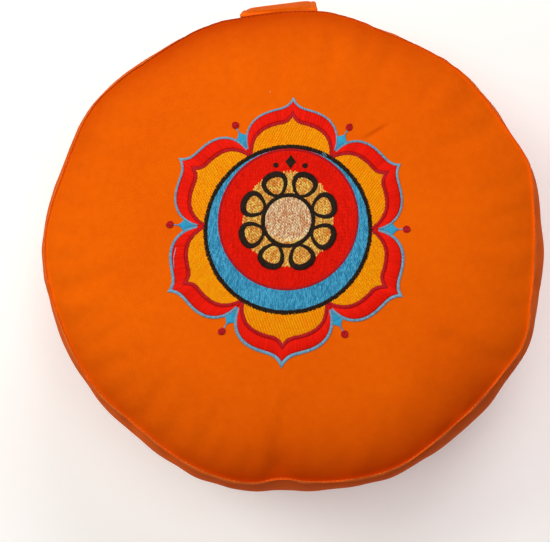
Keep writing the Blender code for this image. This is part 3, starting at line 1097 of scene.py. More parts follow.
@dataclass
class ThreadWork:
    """All the stitches of one piece of needlework, joined into one mesh."""

    name: str
    finish: ThreadFinish
    seed: int
    variety: float = 0.22
    form: StitchForm = StitchForm()
    flatness: float = 0.85
    batches: list[StitchBatch] = field(default_factory=list)

    def __post_init__(self) -> None:
        """Start this piece's own run of random numbers."""
        self.random = np.random.default_rng(self.seed)

    def lay(self, starts: Array, ends: Array, ups: Array, radius: float, arch: float = 0.0) -> None:
        """Add stitches from starts to ends, which arch upwards by their middles."""
        if len(starts):
            tints = np.clip(self.random.normal(0.5, self.variety, len(starts)), 0.0, 1.0)
            self.batches.append(StitchBatch(starts, ends, ups, radius, arch, tints))

    def join(self) -> bpy.types.Object:
        """Copy the modelled stitch to every place and join the copies.

        Returns:
            The piece of needlework.
        """
        shape = self.form.model()
        share = shape.points[:, 2]
        size = np.hypot(shape.points[:, 0], shape.points[:, 1])
        cosine, sine = shape.points[:, 0] / size, shape.points[:, 1] / size
        points, runs, tints = [], [], []
        for batch in self.batches:
            line = batch.ends - batch.starts
            length = np.linalg.norm(line, axis=1)
            side = np.cross(batch.ups, line)
            side /= np.linalg.norm(side, axis=1, keepdims=True)
            lift = batch.arch * 4.0 * share * (1.0 - share) + batch.radius * self.flatness * size * sine
            spread = batch.radius * size * cosine
            block = batch.starts[:, None] + line[:, None] * share[None, :, None]
            block = block + batch.ups[:, None] * lift[None, :, None] + side[:, None] * spread[None, :, None]
            points.append(block.reshape(-1, 3))
            run = np.stack(np.broadcast_arrays(length[:, None] * share, cosine, sine), -1)
            runs.append(run.reshape(-1, 3))
            tints.append(np.repeat(batch.tints, len(share)))
        return self.joined_object(shape, np.concatenate(points), np.concatenate(runs), np.concatenate(tints))

    def joined_object(self, shape: StitchShape, points: Array, runs: Array, tints: Array) -> bpy.types.Object:
        """Make the joined mesh.

        Args:
            shape: the modelled stitch.
            points: every copy's points.
            runs: length along the thread and direction about it, for each point.
            tints: each point's tone.

        Returns:
            The object, dressed and riding on the cushion's body.
        """
        copies = len(points) // len(shape.points)
        corners = np.concatenate([np.array(face) for face in shape.faces])
        sizes = np.array([len(face) for face in shape.faces])
        steps = np.arange(copies)[:, None] * len(shape.points)
        corner_rows = (corners[None, :] + steps).ravel()
        starts = np.concatenate([[0], np.cumsum(np.tile(sizes, copies))[:-1]])
        mesh = bpy.data.meshes.new(self.name)
        mesh.vertices.add(len(points))
        mesh.vertices.foreach_set("co", points.ravel())
        mesh.loops.add(len(corner_rows))
        mesh.loops.foreach_set("vertex_index", corner_rows)
        mesh.polygons.add(len(starts))
        mesh.polygons.foreach_set("loop_start", starts)
        mesh.update(calc_edges=True)
        mesh.shade_smooth()
        obj = bpy.data.objects.new(self.name, mesh)
        bpy.context.scene.collection.objects.link(obj)
        set_values(obj, "thread_run", runs)
        set_values(obj, "thread_tint", tints)
        mesh.materials.append(self.finish.material())
        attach(obj, BODY)
        log.info("%s: %d stitches, %d triangles", self.name, copies, triangles(obj))
        return obj


@dataclass
class SeamStitching:
    """The row of machine stitches that shows along the root of a seam ridge."""

    cover: CushionCover
    name: str
    ridge: str
    ring: int
    seed: int
    pitch: float = 2.9 * MM
    length: float = 2.1 * MM
    radius: float = 0.17 * MM
    proud: float = 0.10 * MM

    def build(self, dressed: bpy.types.Object) -> bpy.types.Object:
        """Lay stitches along the foot of the ridge on the finished cover."""
        line = positions(dressed)[self.cover.rings[self.ridge][self.ring]]
        ups = line - np.array([0.0, 0.0, 0.083])
        ups /= np.linalg.norm(ups, axis=1, keepdims=True)
        closed = np.concatenate([line, line[:1]])
        closed_ups = np.concatenate([ups, ups[:1]])
        run = run_length(closed)
        count = int(run[-1] // self.pitch)
        begin = np.arange(count) / count
        end = begin + self.length / run[-1]
        starts, ends = along(closed, begin), along(closed, np.minimum(end, 1.0))
        up_rows = np.stack([np.interp(begin * run[-1], run, closed_ups[:, axis]) for axis in range(3)], 1)
        work = ThreadWork(self.name, SEAM_THREAD, self.seed)
        work.lay(starts + up_rows * self.proud, ends + up_rows * self.proud, up_rows, self.radius, 0.05 * MM)
        return work.join()


# ---------------------------------------------------------------- the carrying strap


@dataclass
class CarryStrap:
    """The folded twill strap across the side wall, with a row of stitches along each edge."""

    node: str = "carry_handle"
    bearing_deg: float = 92.3
    columns: int = 6
    flat: tuple[float, float] = (0.049, 0.141)
    steps_along: int = 96
    edge_radius_share: float = 0.055
    stitch_row: float = 0.865
    dip: float = 0.62
    tuck: float = 1.5 * MM
    pitch: float = 2.8 * MM
    finish: TwillFinish = TwillFinish("strap_twill", lean_deg=43.0)

    def packed_faces(self) -> tuple[Array, Array]:
        """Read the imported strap's inner and outer face.

        Returns:
            Points by column and row, from below upwards, of the inner and of the outer face.
        """
        points = welded_points(self.node)
        angle = math.radians(self.bearing_deg)
        across = points @ np.array([-math.sin(angle), math.cos(angle), 0.0])
        inner, outer = [], []
        for chosen in np.array_split(np.argsort(across), self.columns):
            column = points[chosen]
            column = column[np.argsort(column[:, 2])].reshape(-1, 2, 3)
            order = np.argsort(np.hypot(column[..., 0], column[..., 1]), axis=1)
            inner.append(column[np.arange(len(column)), order[:, 0]])
            outer.append(column[np.arange(len(column)), order[:, 1]])
        return np.array(inner), np.array(outer)

    def places_across(self) -> Array:
        """Where the strap's cross-section has points, from -1 to 1."""
        half = [0.0, 0.25, 0.5, 0.72, self.stitch_row - 0.05, self.stitch_row, self.stitch_row + 0.045, 0.95, 0.985]
        return np.array([-value for value in reversed(half[1:])] + half)

    def thickness(self, places: Array) -> Array:
        """Share of the full thickness: round at the edges and pressed in along the stitch rows."""
        past = np.clip((np.abs(places) - 1.0 + self.edge_radius_share) / self.edge_radius_share, 0.0, 1.0)
        rounding = np.sqrt(1.0 - past**2)
        pressed = np.exp(-(((np.abs(places) - self.stitch_row) / 0.03) ** 2))
        return rounding * (1.0 - (1.0 - self.dip) * pressed)

    def surface(self) -> tuple[Array, Array]:
        """Find the strap's middle surface and its half thickness.

        Returns:
            Both by place across and row.
        """
        inner, outer = self.packed_faces()
        middle, half = (inner + outer) / 2.0, (outer - inner) / 2.0
        knots = np.linspace(-1.0, 1.0, self.columns)
        places = np.concatenate([[-1.0], self.places_across(), [1.0]])
        middle, half = read_curve(knots, middle, places), read_curve(knots, half, places)
        rows = np.linspace(0.0, 1.0, middle.shape[1])
        fine = np.linspace(0.0, 1.0, self.steps_along + 1)
        middle = read_curve(rows, middle.transpose(1, 0, 2), fine).transpose(1, 0, 2)
        half = read_curve(rows, half.transpose(1, 0, 2), fine).transpose(1, 0, 2)
        return self.eased(middle, places, fine), half

    def eased(self, middle: Array, places: Array, fine: Array) -> Array:
        """Let the edges of the strap wander a little, and reach into both seams.

        Args:
            middle: the middle surface by place across and row.
            places: the places across, from -1 to 1.
            fine: the places of the rows, from 0 to 1.

        Returns:
            The eased surface.
        """
        outward = middle * [1.0, 1.0, 0.0]
        outward /= np.linalg.norm(outward, axis=2, keepdims=True)
        ripple = np.sin(fine * TURN * 2.6 + 0.7) * 0.35 + np.sin(fine * TURN * 5.3 + 2.0) * 0.2
        between = np.sin(math.pi * np.clip(fine, 0.0, 1.0)) ** 2
        tucked = np.where(places > 0.0, 2.8, 1.4) * smooth_step((np.abs(places) - 0.7) / 0.3)
        edge = np.abs(places)[:, None] ** 3 * ripple[None, :] * 0.3 - tucked[:, None]
        middle = middle + outward * (edge * between[None, :] * MM)[..., None]
        upward = smooth_step((fine - 0.97) / 0.03) - smooth_step((0.03 - fine) / 0.03)
        middle[..., 2] += upward[None, :] * self.tuck
        return middle

    def build(self) -> bpy.types.Object:
        """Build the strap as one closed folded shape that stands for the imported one.

        Returns:
            The strap.
        """
        middle, half = self.surface()
        places = np.concatenate([[-1.0], self.places_across(), [1.0]])
        share = self.thickness(places)[:, None, None]
        outer, inner = middle + half * share, middle - half * share
        loop = np.concatenate([outer, inner[-2:0:-1]])
        round_count, rows = loop.shape[0], loop.shape[1]
        points = loop.transpose(1, 0, 2).reshape(-1, 3)
        faces = [[k for k in range(round_count)], [(rows - 1) * round_count + k for k in reversed(range(round_count))]]
        for row in range(rows - 1):
            for k in range(round_count):
                n = (k + 1) % round_count
                low, high = row * round_count, (row + 1) * round_count
                faces.append([low + k, high + k, high + n, low + n])
        strap = mesh_object("carry_strap", points, faces)
        self.lay_weave(strap, middle, places, round_count)
        # the strap's folded edges are paler: partly wear, partly painted highlight
        lightening = np.tile(np.concatenate([np.abs(places) ** 14, np.abs(places[-2:0:-1]) ** 14]), rows) * 0.7
        set_values(strap, "crest_wear_and_highlight", lightening)
        # the whole strap takes a little of the deep colour, as its own tone
        set_values(strap, "painted_shade_and_tone", np.full(len(lightening), 0.08))
        only_select(strap)
        bpy.ops.object.mode_set(mode="EDIT")
        bpy.ops.mesh.select_all(action="SELECT")
        bpy.ops.mesh.normals_make_consistent(inside=False)
        bpy.ops.object.mode_set(mode="OBJECT")
        finer = strap.modifiers.new("Finer cloth", "SUBSURF")
        finer.levels = finer.render_levels = 1
        finer.uv_smooth = "NONE"
        apply_modifiers(strap)
        strap.data.materials.append(self.finish.material())
        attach(strap, BODY)
        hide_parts(self.node)
        log.info("%s: %d triangles", strap.name, triangles(strap))
        return strap

    def lay_weave(self, strap: bpy.types.Object, middle: Array, places: Array, round_count: int) -> None:
        """Give each corner its place on the cut strap, in metres.

        Args:
            strap: the strap's mesh, row by row.
            middle: its middle surface by place across and row.
            places: the places across, from -1 to 1.
            round_count: how many points go once round it.
        """
        run = run_length(middle[len(middle) // 2])
        width = self.flat[0] / 2.0
        outer = places * width
        inner = (2.0 - places[-2:0:-1]) * width
        around = np.concatenate([outer, inner])
        layer = strap.data.uv_layers.new(name="cloth_run")
        for face in strap.data.polygons:
            columns = [strap.data.loops[index].vertex_index % round_count for index in face.loop_indices]
            wraps = face.index >= 2 and {0, round_count - 1} <= set(columns)
            for index, column in zip(face.loop_indices, columns):
                row = strap.data.loops[index].vertex_index // round_count
                u = around[column] + (2.0 * self.flat[0] if wraps and column == 0 else 0.0)
                layer.data[index].uv = (u, run[row])

    def stitching(self) -> bpy.types.Object:
        """Lay the two rows of stitches along the strap's edges, on its outer face.

        Returns:
            Both rows as one piece.
        """
        middle, half = self.surface()
        places = np.concatenate([[-1.0], self.places_across(), [1.0]])
        work = ThreadWork("strap_stitching", SEAM_THREAD, 41)
        for side in (-1.0, 1.0):
            column = int(np.argmin(np.abs(places - side * self.stitch_row)))
            line = middle[column] + half[column] * (self.dip + 0.10)
            ups = half[column] / np.linalg.norm(half[column], axis=1, keepdims=True)
            run = run_length(line)
            begin = np.arange(3.0 * MM, run[-1] - 5.0 * MM, self.pitch)
            starts, ends = along(line, begin / run[-1]), along(line, (begin + 2.1 * MM) / run[-1])
            rows = np.stack([np.interp(begin, run, ups[:, axis]) for axis in range(3)], 1)
            work.lay(starts, ends, rows, 0.18 * MM, 0.05 * MM)
        return work.join()


# ---------------------------------------------------------------- the embroidered lotus


@dataclass
class ClothHeights:
    """The finished panel as a table of heights that needlework is laid on."""

    reach: float = 0.098
    step: float = 0.0014

    def measure(self, cover: bpy.types.Object) -> "ClothHeights":
        """Read the panel's height on an even grid.

        Args:
            cover: the finished cover.

        Returns:
            This table.
        """
        tree = BVHTree.FromPolygons(positions(cover).tolist(), [list(face.vertices) for face in cover.data.polygons])
        self.count = int(round(2 * self.reach / self.step)) + 1
        side = np.linspace(-self.reach, self.reach, self.count)
        self.table = np.empty((self.count, self.count))
        for i, x in enumerate(side):
            for j, y in enumerate(side):
                self.table[i, j] = tree.ray_cast(Vector((x, y, 0.3)), Vector((0, 0, -1)))[0].z
        return self

    def height(self, spots: Array) -> Array:
        """Find the height of the cloth at spots seen from above.

        Args:
            spots: one spot a row.

        Returns:
            One height per spot.
        """
        place = (spots + self.reach) / (2 * self.reach) * (self.count - 1)
        base = np.clip(np.floor(place).astype(int), 0, self.count - 2)
        share = place - base
        i, j, u, v = base[:, 0], base[:, 1], share[:, 0], share[:, 1]
        near = self.table[i, j] * (1 - v) + self.table[i, j + 1] * v
        far = self.table[i + 1, j] * (1 - v) + self.table[i + 1, j + 1] * v
        return near * (1 - u) + far * u

    def normals(self, spots: Array) -> Array:
        """Find which way is up out of the cloth at spots seen from above.

        Args:
            spots: one spot a row.

        Returns:
            One direction per spot.
        """
        small = 0.0015
        slope = [
            (self.height(spots + np.array(way)) - self.height(spots - np.array(way))) / (2 * small)
            for way in ((small, 0.0), (0.0, small))
        ]
        normal = np.stack([-slope[0], -slope[1], np.ones(len(spots))], 1)
        return normal / np.linalg.norm(normal, axis=1, keepdims=True)


def polar(radius: Array, bearing_deg: Array) -> Array:
    """Points at radii and bearings."""
    angle = np.radians(bearing_deg)
    return np.stack(np.broadcast_arrays(radius * np.cos(angle), radius * np.sin(angle)), -1)


def turned(points: Array, degrees: float) -> Array:
    """Points turned anticlockwise about the middle."""
    angle = math.radians(degrees)
    return points @ np.array([[math.cos(angle), math.sin(angle)], [-math.sin(angle), math.cos(angle)]])


def mirrored(points: Array) -> Array:
    """Points on the other side of the X axis."""
    return points * [1.0, -1.0]


def inset_line(points: Array, distance: float, low_deg: float, high_deg: float) -> Array:
    """A line moved towards the middle, cut off at two bearings.

    Args:
        points: the line, by rising bearing.
        distance: how far to move it; below zero moves it away.
        low_deg: no point is kept below this bearing.
        high_deg: no point is kept above this bearing.

    Returns:
        The moved line, with an end on each limit that it crossed.
    """
    along_line = np.gradient(points, axis=0)
    along_line /= np.linalg.norm(along_line, axis=1, keepdims=True)
    inward = np.stack([-along_line[:, 1], along_line[:, 0]], 1)
    moved = points + inward * distance
    bearing = np.degrees(np.arctan2(moved[:, 1], moved[:, 0]))
    radius = np.hypot(moved[:, 0], moved[:, 1])
    kept = np.flatnonzero((bearing >= low_deg) & (bearing <= high_deg))
    first, last = kept[0], kept[-1]
    line = [moved[kept]]
    if first > 0:
        line.insert(
            0, polar(np.interp([low_deg], bearing[first - 1 : first + 1], radius[first - 1 : first + 1]), low_deg)
        )
    elif moved[0, 1] > 0.0:  # the line was moved away from its tip: run it back to the axis
        back = moved[0] - moved[1]
        line.insert(0, (moved[0] - back * moved[0, 1] / back[1])[None])
    if last < len(moved) - 1:
        line.append(polar(np.interp([high_deg], bearing[last : last + 2], radius[last : last + 2]), high_deg))
    return np.concatenate(line)


def side_by_side(left: Array, right: Array, pitch: float, slant: float = 0.0) -> Edges:
    """Satin stitches from one edge of a column to the other.

    Args:
        left: the edge where they start.
        right: the edge where they end.
        pitch: distance from stitch to stitch.
        slant: how far an end runs ahead of its start, in pitches.

    Returns:
        Starts and ends.
    """
    count = max(3, int(round(max(run_length(left)[-1], run_length(right)[-1]) / pitch)))
    shares = (np.arange(count) + 0.5) / count
    ahead = slant / count * np.clip(shares * 9.0, 0.0, 1.0)
    return along(left, shares), along(right, np.clip(shares + ahead, 0.0, 1.0))


@dataclass(frozen=True)
class FillPlan:
    """How rows of stitches fill an area."""

    lean_deg: float
    pitch: float
    length: float
    bundle: int = 1
    bundle_gap: float = 0.0
    zigzag_deg: float = 0.0
    shortest: float = 0.5 * MM
    ragged: float = 0.0


def fill_area(inside: Callable[[Array], Array], reach: float, plan: FillPlan, random: np.random.Generator) -> Edges:
    """Rows of stitches over an area.

    Args:
        inside: tells which spots lie in the area.
        reach: no spot of the area is further from the middle.
        plan: how the rows run.
        random: where the unevenness comes from.

    Returns:
        Starts and ends.
    """
    angle = math.radians(plan.lean_deg)
    forth, across = np.array([math.cos(angle), math.sin(angle)]), np.array([-math.sin(angle), math.cos(angle)])
    step = 0.2 * MM
    track = np.arange(-reach, reach, step)
    starts: list[Array] = []
    ends: list[Array] = []
    place, row = -reach, 0
    while place < reach:
        spots = across * place + forth * track[:, None]
        mask = inside(spots).astype(int)
        changes = np.flatnonzero(np.diff(np.concatenate([[0], mask, [0]])))
        shift = (row * 0.381966 % 1.0) * plan.length + random.uniform(-0.15, 0.15) * plan.length
        for begin, finish in zip(changes[::2], changes[1::2]):
            low, high = (
                track[begin] - random.uniform(0, plan.ragged),
                track[finish - 1] + random.uniform(0, plan.ragged),
            )
            if high - low < plan.shortest:
                continue
            first = math.floor((low - shift) / plan.length) * plan.length + shift
            cuts = [low] + [
                c for c in np.arange(first, high, plan.length) if low + plan.shortest < c < high - plan.shortest
            ]
            cuts.append(high)
            for one, two in zip(cuts, cuts[1:]):
                tilt = math.tan(math.radians(plan.zigzag_deg)) * (two - one) / 2.0 * (1 if row % 2 else -1)
                starts.append(across * (place - tilt) + forth * one)
                ends.append(across * (place + tilt) + forth * two)
        row += 1
        gap = plan.bundle_gap if plan.bundle > 1 and row % plan.bundle == 0 else 0.0
        place += plan.pitch + gap
    return np.array(starts).reshape(-1, 2), np.array(ends).reshape(-1, 2)


@dataclass(frozen=True)
class SatinPlan:
    """Satin between one line of a petal and the next: its thread and its sizes in millimetres."""

    name: str
    finish: ThreadFinish
    seed: int
    line: int
    pitch: float
    slant: float
    lift: float
    radius: float
    arch: float


@dataclass(frozen=True)
class PetalPlan:
    """One petal: its bearing, the lean of its fill, and how much fuller, longer and narrower-filled it is, in mm."""

    bearing: int
    lean_deg: float
    fuller: float
    longer: float
    less_filled: float
    gap: float


PETALS = (
    PetalPlan(30, 52.0, -1.1, -0.6, 1.7, 0.25),
    PetalPlan(90, 64.0, -0.5, 0.4, 0.2, 0.25),
    PetalPlan(150, 124.0, 0.0, 0.4, 0.6, 0.2),
    PetalPlan(210, 50.0, 0.1, 0.0, 1.1, 0.08),
    PetalPlan(270, 112.0, 0.9, 1.4, 0.0, 0.25),
    PetalPlan(330, 130.0, 0.0, 0.0, 1.8, 0.12),
)
PETAL_SATINS = (
    SatinPlan("petal_red_satin", RED, 22, 1, 0.52, 2.0, 0.42, 0.30, 0.24),
    SatinPlan("petal_dark_contour", DARK_RED, 23, 2, 0.48, 1.0, 0.54, 0.26, 0.26),
    SatinPlan("petal_blue_outline", PALE_BLUE, 24, 0, 0.47, 0.8, 0.32, 0.25, 0.34),
)


@dataclass
class Lotus:
    """The embroidery on the upper panel: six petals round a ringed disc with an eight-petalled rosette."""

    heights: ClothHeights
    middle: tuple[float, float] = (0.3 * MM, 8.5 * MM)
    turn_deg: float = -2.6
    ring_outer: float = 51.05 * MM
    ring_inner: float = 48.3 * MM
    disc_radius: float = 42.6 * MM
    disc_shift: float = 6.0 * MM
    gold_radius: float = 27.6 * MM
    core_size: tuple[float, float] = (16.0 * MM, 13.6 * MM)
    outline_width: float = 1.62 * MM
    contour_width: float = 2.1 * MM
    random: np.random.Generator = field(default_factory=lambda: np.random.default_rng(5))

    # ---- petal lines, in a petal's own half: bearing 0 is its axis, 30 the notch

    def petal_edge(self, petal: PetalPlan) -> Array:
        """The outer edge of half a petal, from its tip to the notch."""
        share = np.linspace(0.0, 1.0, 400)
        phi = 30.0 * (1.0 - (1.0 - share) ** 1.8)
        body = (19.2 + petal.fuller) * (1.0 - (phi / 30.0) ** 3.6) ** 0.68
        return polar((54.8 + body + (6.6 + petal.longer) * np.exp(-phi / 2.4)) * MM, phi)

    def petal_lines(self, petal: PetalPlan) -> tuple[Array, ...]:
        """Half a petal's lines from outside in: its edge and the borders of outline, red satin and dark contour."""
        edge, inner = self.petal_edge(petal), self.field_edge(petal)
        width = self.outline_width - 0.34 * MM * math.sin(math.radians(petal.bearing))
        return edge, inset_line(edge, width, 0.0, 30.0), inset_line(inner, -self.contour_width, 0.0, 30.0), inner

    def field_edge(self, petal: PetalPlan) -> Array:
        """The edge of the yellow field in half a petal, from its tip to the black ring."""
        phi = np.array([0.0, 1.6, 3.7, 8.4, 13.3, 18.9, 22.4, 24.9, 27.0, 28.6])
        radius = np.array([68.0, 65.7, 64.3, 63.5, 62.7, 60.8, 58.4, 55.6, 52.4, 49.6])
        fine = np.linspace(0.0, 28.6, 240)
        smooth = read_curve(phi, radius, fine)
        return polar((smooth - petal.less_filled * smooth_step((smooth - 50.0) / 9.0)) * MM, fine)

    def on_cloth(self, points: Array, lift: float) -> Array:
        """Points of the drawing on the panel, lifted off the cloth.

        Args:
            points: points about the lotus's middle, before it is turned.
            lift: height above the cloth.

        Returns:
            Points of the model.
        """
        spots = self.pulled(points)
        return np.column_stack([spots, self.heights.height(spots) + lift])

    def pulled(self, points: Array) -> Array:
        """Where points of the drawing lie, seen from above, on the cloth that was pulled askew."""
        x, y = (turned(points, self.turn_deg) / MM).T
        x, y = x - 0.00053 * x * y, y - 0.5 + 0.0245 * x + 0.0125 * y + 0.00031 * x * x
        return np.stack([x, y], 1) * MM + np.array(self.middle)

    def lay(
        self, work: ThreadWork, edges: Edges, lift: float, radius: float, arch: float = 0.0, stray: float = 0.0
    ) -> None:
        """Sew stitches of the drawing into a piece of needlework.

        Args:
            work: the piece.
            edges: starts and ends in the drawing.
            lift: height above the cloth.
            radius: of the thread.
            arch: rise of a stitch's middle.
            stray: how far an end may miss its place.
        """
        starts, ends = (points + self.random.uniform(-stray, stray, points.shape) for points in edges)
        middles = self.pulled((starts + ends) / 2.0)
        work.lay(self.on_cloth(starts, lift), self.on_cloth(ends, lift), self.heights.normals(middles), radius, arch)

    # ---- areas

    def in_field(self, spots: Array, petal: PetalPlan) -> Array:
        """Whether spots lie in a petal's yellow field."""
        bearing = np.degrees(np.arctan2(spots[:, 1], spots[:, 0]))
        radius = np.hypot(spots[:, 0], spots[:, 1])
        mine = np.abs((bearing - petal.bearing + 180.0) % 360.0 - 180.0) < 28.6
        return mine & (radius < self.rim_radius(self.field_edge)(bearing)) & (radius > self.ring_outer - 0.8 * MM)

    def in_disc(self, spots: Array, shrink: float = 0.0) -> Array:
        """Whether spots lie in the red disc."""
        return np.hypot(spots[:, 0], spots[:, 1] - self.disc_shift) < self.disc_radius - shrink

    def in_crescent(self, spots: Array) -> Array:
        """Whether spots lie in the blue crescent."""
        return (np.hypot(spots[:, 0], spots[:, 1]) < self.ring_inner + 0.3 * MM) & ~self.in_disc(spots, 0.3 * MM)

    def in_gold(self, spots: Array) -> Array:
        """Whether spots lie in the gold disc, outside its pale core."""
        radius = np.hypot(spots[:, 0], spots[:, 1] - self.disc_shift)
        return (radius < self.gold_radius) & ~self.in_core(spots, 0.5 * MM)

    def in_core(self, spots: Array, shrink: float = 0.0) -> Array:
        """Whether spots lie in the pale core."""
        wide, tall = self.core_size[0] - shrink, self.core_size[1] - shrink
        return (spots[:, 0] / wide) ** 2 + ((spots[:, 1] - self.disc_shift) / tall) ** 2 < 1.0

    # ---- under-stitching

    def backing(
        self, name: str, finish: ThreadFinish, rim: Callable[[Array], Array], shift: float, lift: float
    ) -> None:
        """A thin pad of under-stitching with a soft edge, below a fill.

        Args:
            name: the piece's name.
            finish: its thread.
            rim: radius of its edge at bearings in degrees.
            shift: how far its middle lies above the lotus's middle.
            lift: height of its top above the cloth.
        """
        sectors, shares = 360, [1.0, 0.985, 0.94, 0.86, 0.76, 0.66, 0.56, 0.46, 0.36, 0.26, 0.16, 0.07]
        bpy.ops.object.select_all(action="DESELECT")
        bpy.ops.mesh.primitive_circle_add(vertices=sectors, radius=1.0, fill_type="NOTHING", location=(0, 0, 0))
        pad = bpy.context.object
        pad.name = pad.data.name = name
        bpy.ops.object.mode_set(mode="EDIT")
        bpy.ops.mesh.select_all(action="SELECT")
        for before, here in zip(shares, shares[1:]):
            bpy.ops.mesh.extrude_edges_move()
            bpy.ops.transform.resize(value=(here / before, here / before, 1.0))
        bpy.ops.mesh.edge_face_add()
        bpy.ops.mesh.select_all(action="SELECT")
        bpy.ops.mesh.normals_make_consistent(inside=False)
        bpy.ops.object.mode_set(mode="OBJECT")
        flat = positions(pad)[:, :2]
        share = np.hypot(flat[:, 0], flat[:, 1])
        bearing = np.degrees(np.arctan2(flat[:, 1], flat[:, 0]))
        spots = polar(share * rim(bearing), bearing) + np.array([0.0, shift])
        points = self.on_cloth(spots, 0.0)
        points[:, 2] += lift * smooth_step((1.0 - share) / 0.02) - 0.02 * MM
        set_positions(pad, points)
        if pad.data.polygons[0].normal.z < 0:
            pad.data.flip_normals()
        thick = pad.modifiers.new("Under-stitching", "SOLIDIFY")
        thick.thickness, thick.offset = 0.3 * MM, -1.0
        apply_modifiers(pad)
        pad.data.shade_smooth()
        count = len(pad.data.vertices)
        places = positions(pad)
        set_values(pad, "thread_run", np.column_stack([places[:, 1], np.ones(count), np.zeros(count)]))
        set_values(pad, "thread_tint", np.full(count, 0.4))
        # the under-stitching is darkened as painted shade in the gaps between stitches, less under the red satin
        pad.data.materials.append(backing_finish(finish, 0.85 if finish is RED else 0.55).material())
        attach(pad, BODY)
        log.info("%s: %d triangles", name, triangles(pad))

    def rim_radius(self, line_of: Callable[[PetalPlan], Array], shrink: float = 0.0) -> Callable[[Array], Array]:
        """Join a line of all six petals.

        Args:
            line_of: draws the line of half a petal.
            shrink: how far inside the line the rim lies.

        Returns:
            The rim's radius at any bearing.
        """
        places, radii = [], []
        for petal in PETALS:
            line = line_of(petal)
            off, radius = np.degrees(np.arctan2(line[:, 1], line[:, 0])), np.hypot(line[:, 0], line[:, 1])
            places += [petal.bearing - off[::-1], petal.bearing + off[1:]]
            radii += [radius[::-1], radius[1:]]
        place, radius = np.concatenate(places), np.concatenate(radii) - shrink
        return lambda bearing: np.interp(bearing % 360.0, place, radius, period=360.0)

    def build_backings(self) -> None:
        """Lay the pads of under-stitching, each on the one below."""
        self.backing("petal_backing", RED, self.rim_radius(self.petal_edge, 0.9 * MM), 0.0, 0.22 * MM)
        self.backing("field_backing", YELLOW, self.rim_radius(self.field_edge, -0.5 * MM), 0.0, 0.36 * MM)
        self.backing("ring_backing", BLACK, lambda b: np.full(b.shape, self.ring_outer - 0.4 * MM), 0.0, 0.46 * MM)
        self.backing("crescent_backing", BLUE, lambda b: np.full(b.shape, self.ring_inner), 0.0, 0.51 * MM)
        disc = self.disc_radius - 0.5 * MM
        self.backing("disc_backing", RED, lambda b: np.full(b.shape, disc), self.disc_shift, 0.56 * MM)
        gold = self.gold_radius - 0.4 * MM
        self.backing("gold_backing", GOLD, lambda b: np.full(b.shape, gold), self.disc_shift, 0.68 * MM)

    # ---- needlework

    def build_petals(self) -> None:
        """Sew the six petals: yellow field, then red satin, dark contour and blue outline."""
        fields = ThreadWork("petal_fields", YELLOW, 21)
        for petal in PETALS:
            plan = FillPlan(petal.lean_deg, 0.41 * MM, 4.2 * MM, 3, petal.gap * MM, ragged=0.35 * MM)
            edges = fill_area(lambda spots, petal=petal: self.in_field(spots, petal), 70 * MM, plan, self.random)
            self.lay(fields, edges, 0.55 * MM, 0.23 * MM, 0.04 * MM, 0.04 * MM)
        fields.join()
        for plan in PETAL_SATINS:
            work = ThreadWork(plan.name, plan.finish, plan.seed)
            for petal in PETALS:
                lines = self.petal_lines(petal)
                for mirror in (lambda line: line, mirrored):
                    starts, ends = side_by_side(
                        mirror(lines[plan.line]), mirror(lines[plan.line + 1]), plan.pitch * MM, plan.slant
                    )
                    edges = turned(starts, petal.bearing), turned(ends, petal.bearing)
                    self.lay(work, edges, plan.lift * MM, plan.radius * MM, plan.arch * MM, 0.07 * MM)
            work.join()

    def build_spandrels(self) -> None:
        """Sew the blue diamonds between the petals, with their stems and red dots."""
        diamonds = ThreadWork("spandrel_diamonds", BRIGHT_BLUE, 25)
        dots = ThreadWork("spandrel_dots", DARK_RED, 26)
        radius = np.linspace(55.6, 67.5, 40)
        rising = np.clip((radius - 55.2) / 7.8, 0.0, 1.0) ** 1.9
        falling = np.clip(1.0 - (radius - 63.0) / 4.7, 0.0, 1.0) ** 1.9
        width = 3.7 * np.where(radius < 63.0, rising, falling)
        left = np.stack([radius, width + 0.15], 1) * MM
        for bearing in (0, 60, 120, 180, 240, 300):
            starts, ends = side_by_side(left, mirrored(left), 0.46 * MM)
            self.lay(
                diamonds,
                (turned(starts, bearing), turned(ends, bearing)),
                0.28 * MM,
                0.25 * MM,
                0.30 * MM,
                0.06 * MM,
            )
            stem = np.array([[67.0, 0.12], [67.3, -0.18]]) * MM, np.array([[70.0, 0.18], [69.6, -0.12]]) * MM
            self.lay(diamonds, (turned(stem[0], bearing), turned(stem[1], bearing)), 0.22 * MM, 0.22 * MM, 0.10 * MM)
            plan = FillPlan(bearing + 90.0 + self.random.uniform(-25, 25), 0.42 * MM, 6.0 * MM)
            spot = polar(np.array(71.6 * MM), np.array(float(bearing)))
            starts, ends = fill_area(lambda s: np.hypot(s[:, 0], s[:, 1]) < 2.35 * MM, 3 * MM, plan, self.random)
            self.lay(dots, (starts + spot, ends + spot), 0.30 * MM, 0.26 * MM, 0.42 * MM, 0.06 * MM)
        diamonds.join()
        dots.join()

    def build_ring(self) -> None:
        """Sew the black ring and the blue crescent inside it."""
        bearing = np.linspace(0.0, 360.0, 721)
        ring = ThreadWork("black_ring", BLACK, 27)
        edges = side_by_side(polar(self.ring_inner, bearing), polar(self.ring_outer, bearing), 0.46 * MM, 0.9)
        self.lay(ring, edges, 0.62 * MM, 0.29 * MM, 0.34 * MM, 0.28 * MM)
        ring.join()
        crescent = ThreadWork("blue_crescent", BLUE, 28, variety=0.46)
        plan = FillPlan(90.0, 0.52 * MM, 2.3 * MM, ragged=0.2 * MM)
        self.lay(
            crescent,
            fill_area(self.in_crescent, 50 * MM, plan, self.random),
            0.58 * MM,
            0.27 * MM,
            0.05 * MM,
            0.09 * MM,
        )
        crescent.join()

    def build_discs(self) -> None:
        """Sew the red disc with its dark contour, and the gold disc with its pale core."""
        red = ThreadWork("red_disc", RED, 29)
        plan = FillPlan(90.0, 0.54 * MM, 4.4 * MM, ragged=0.15 * MM)

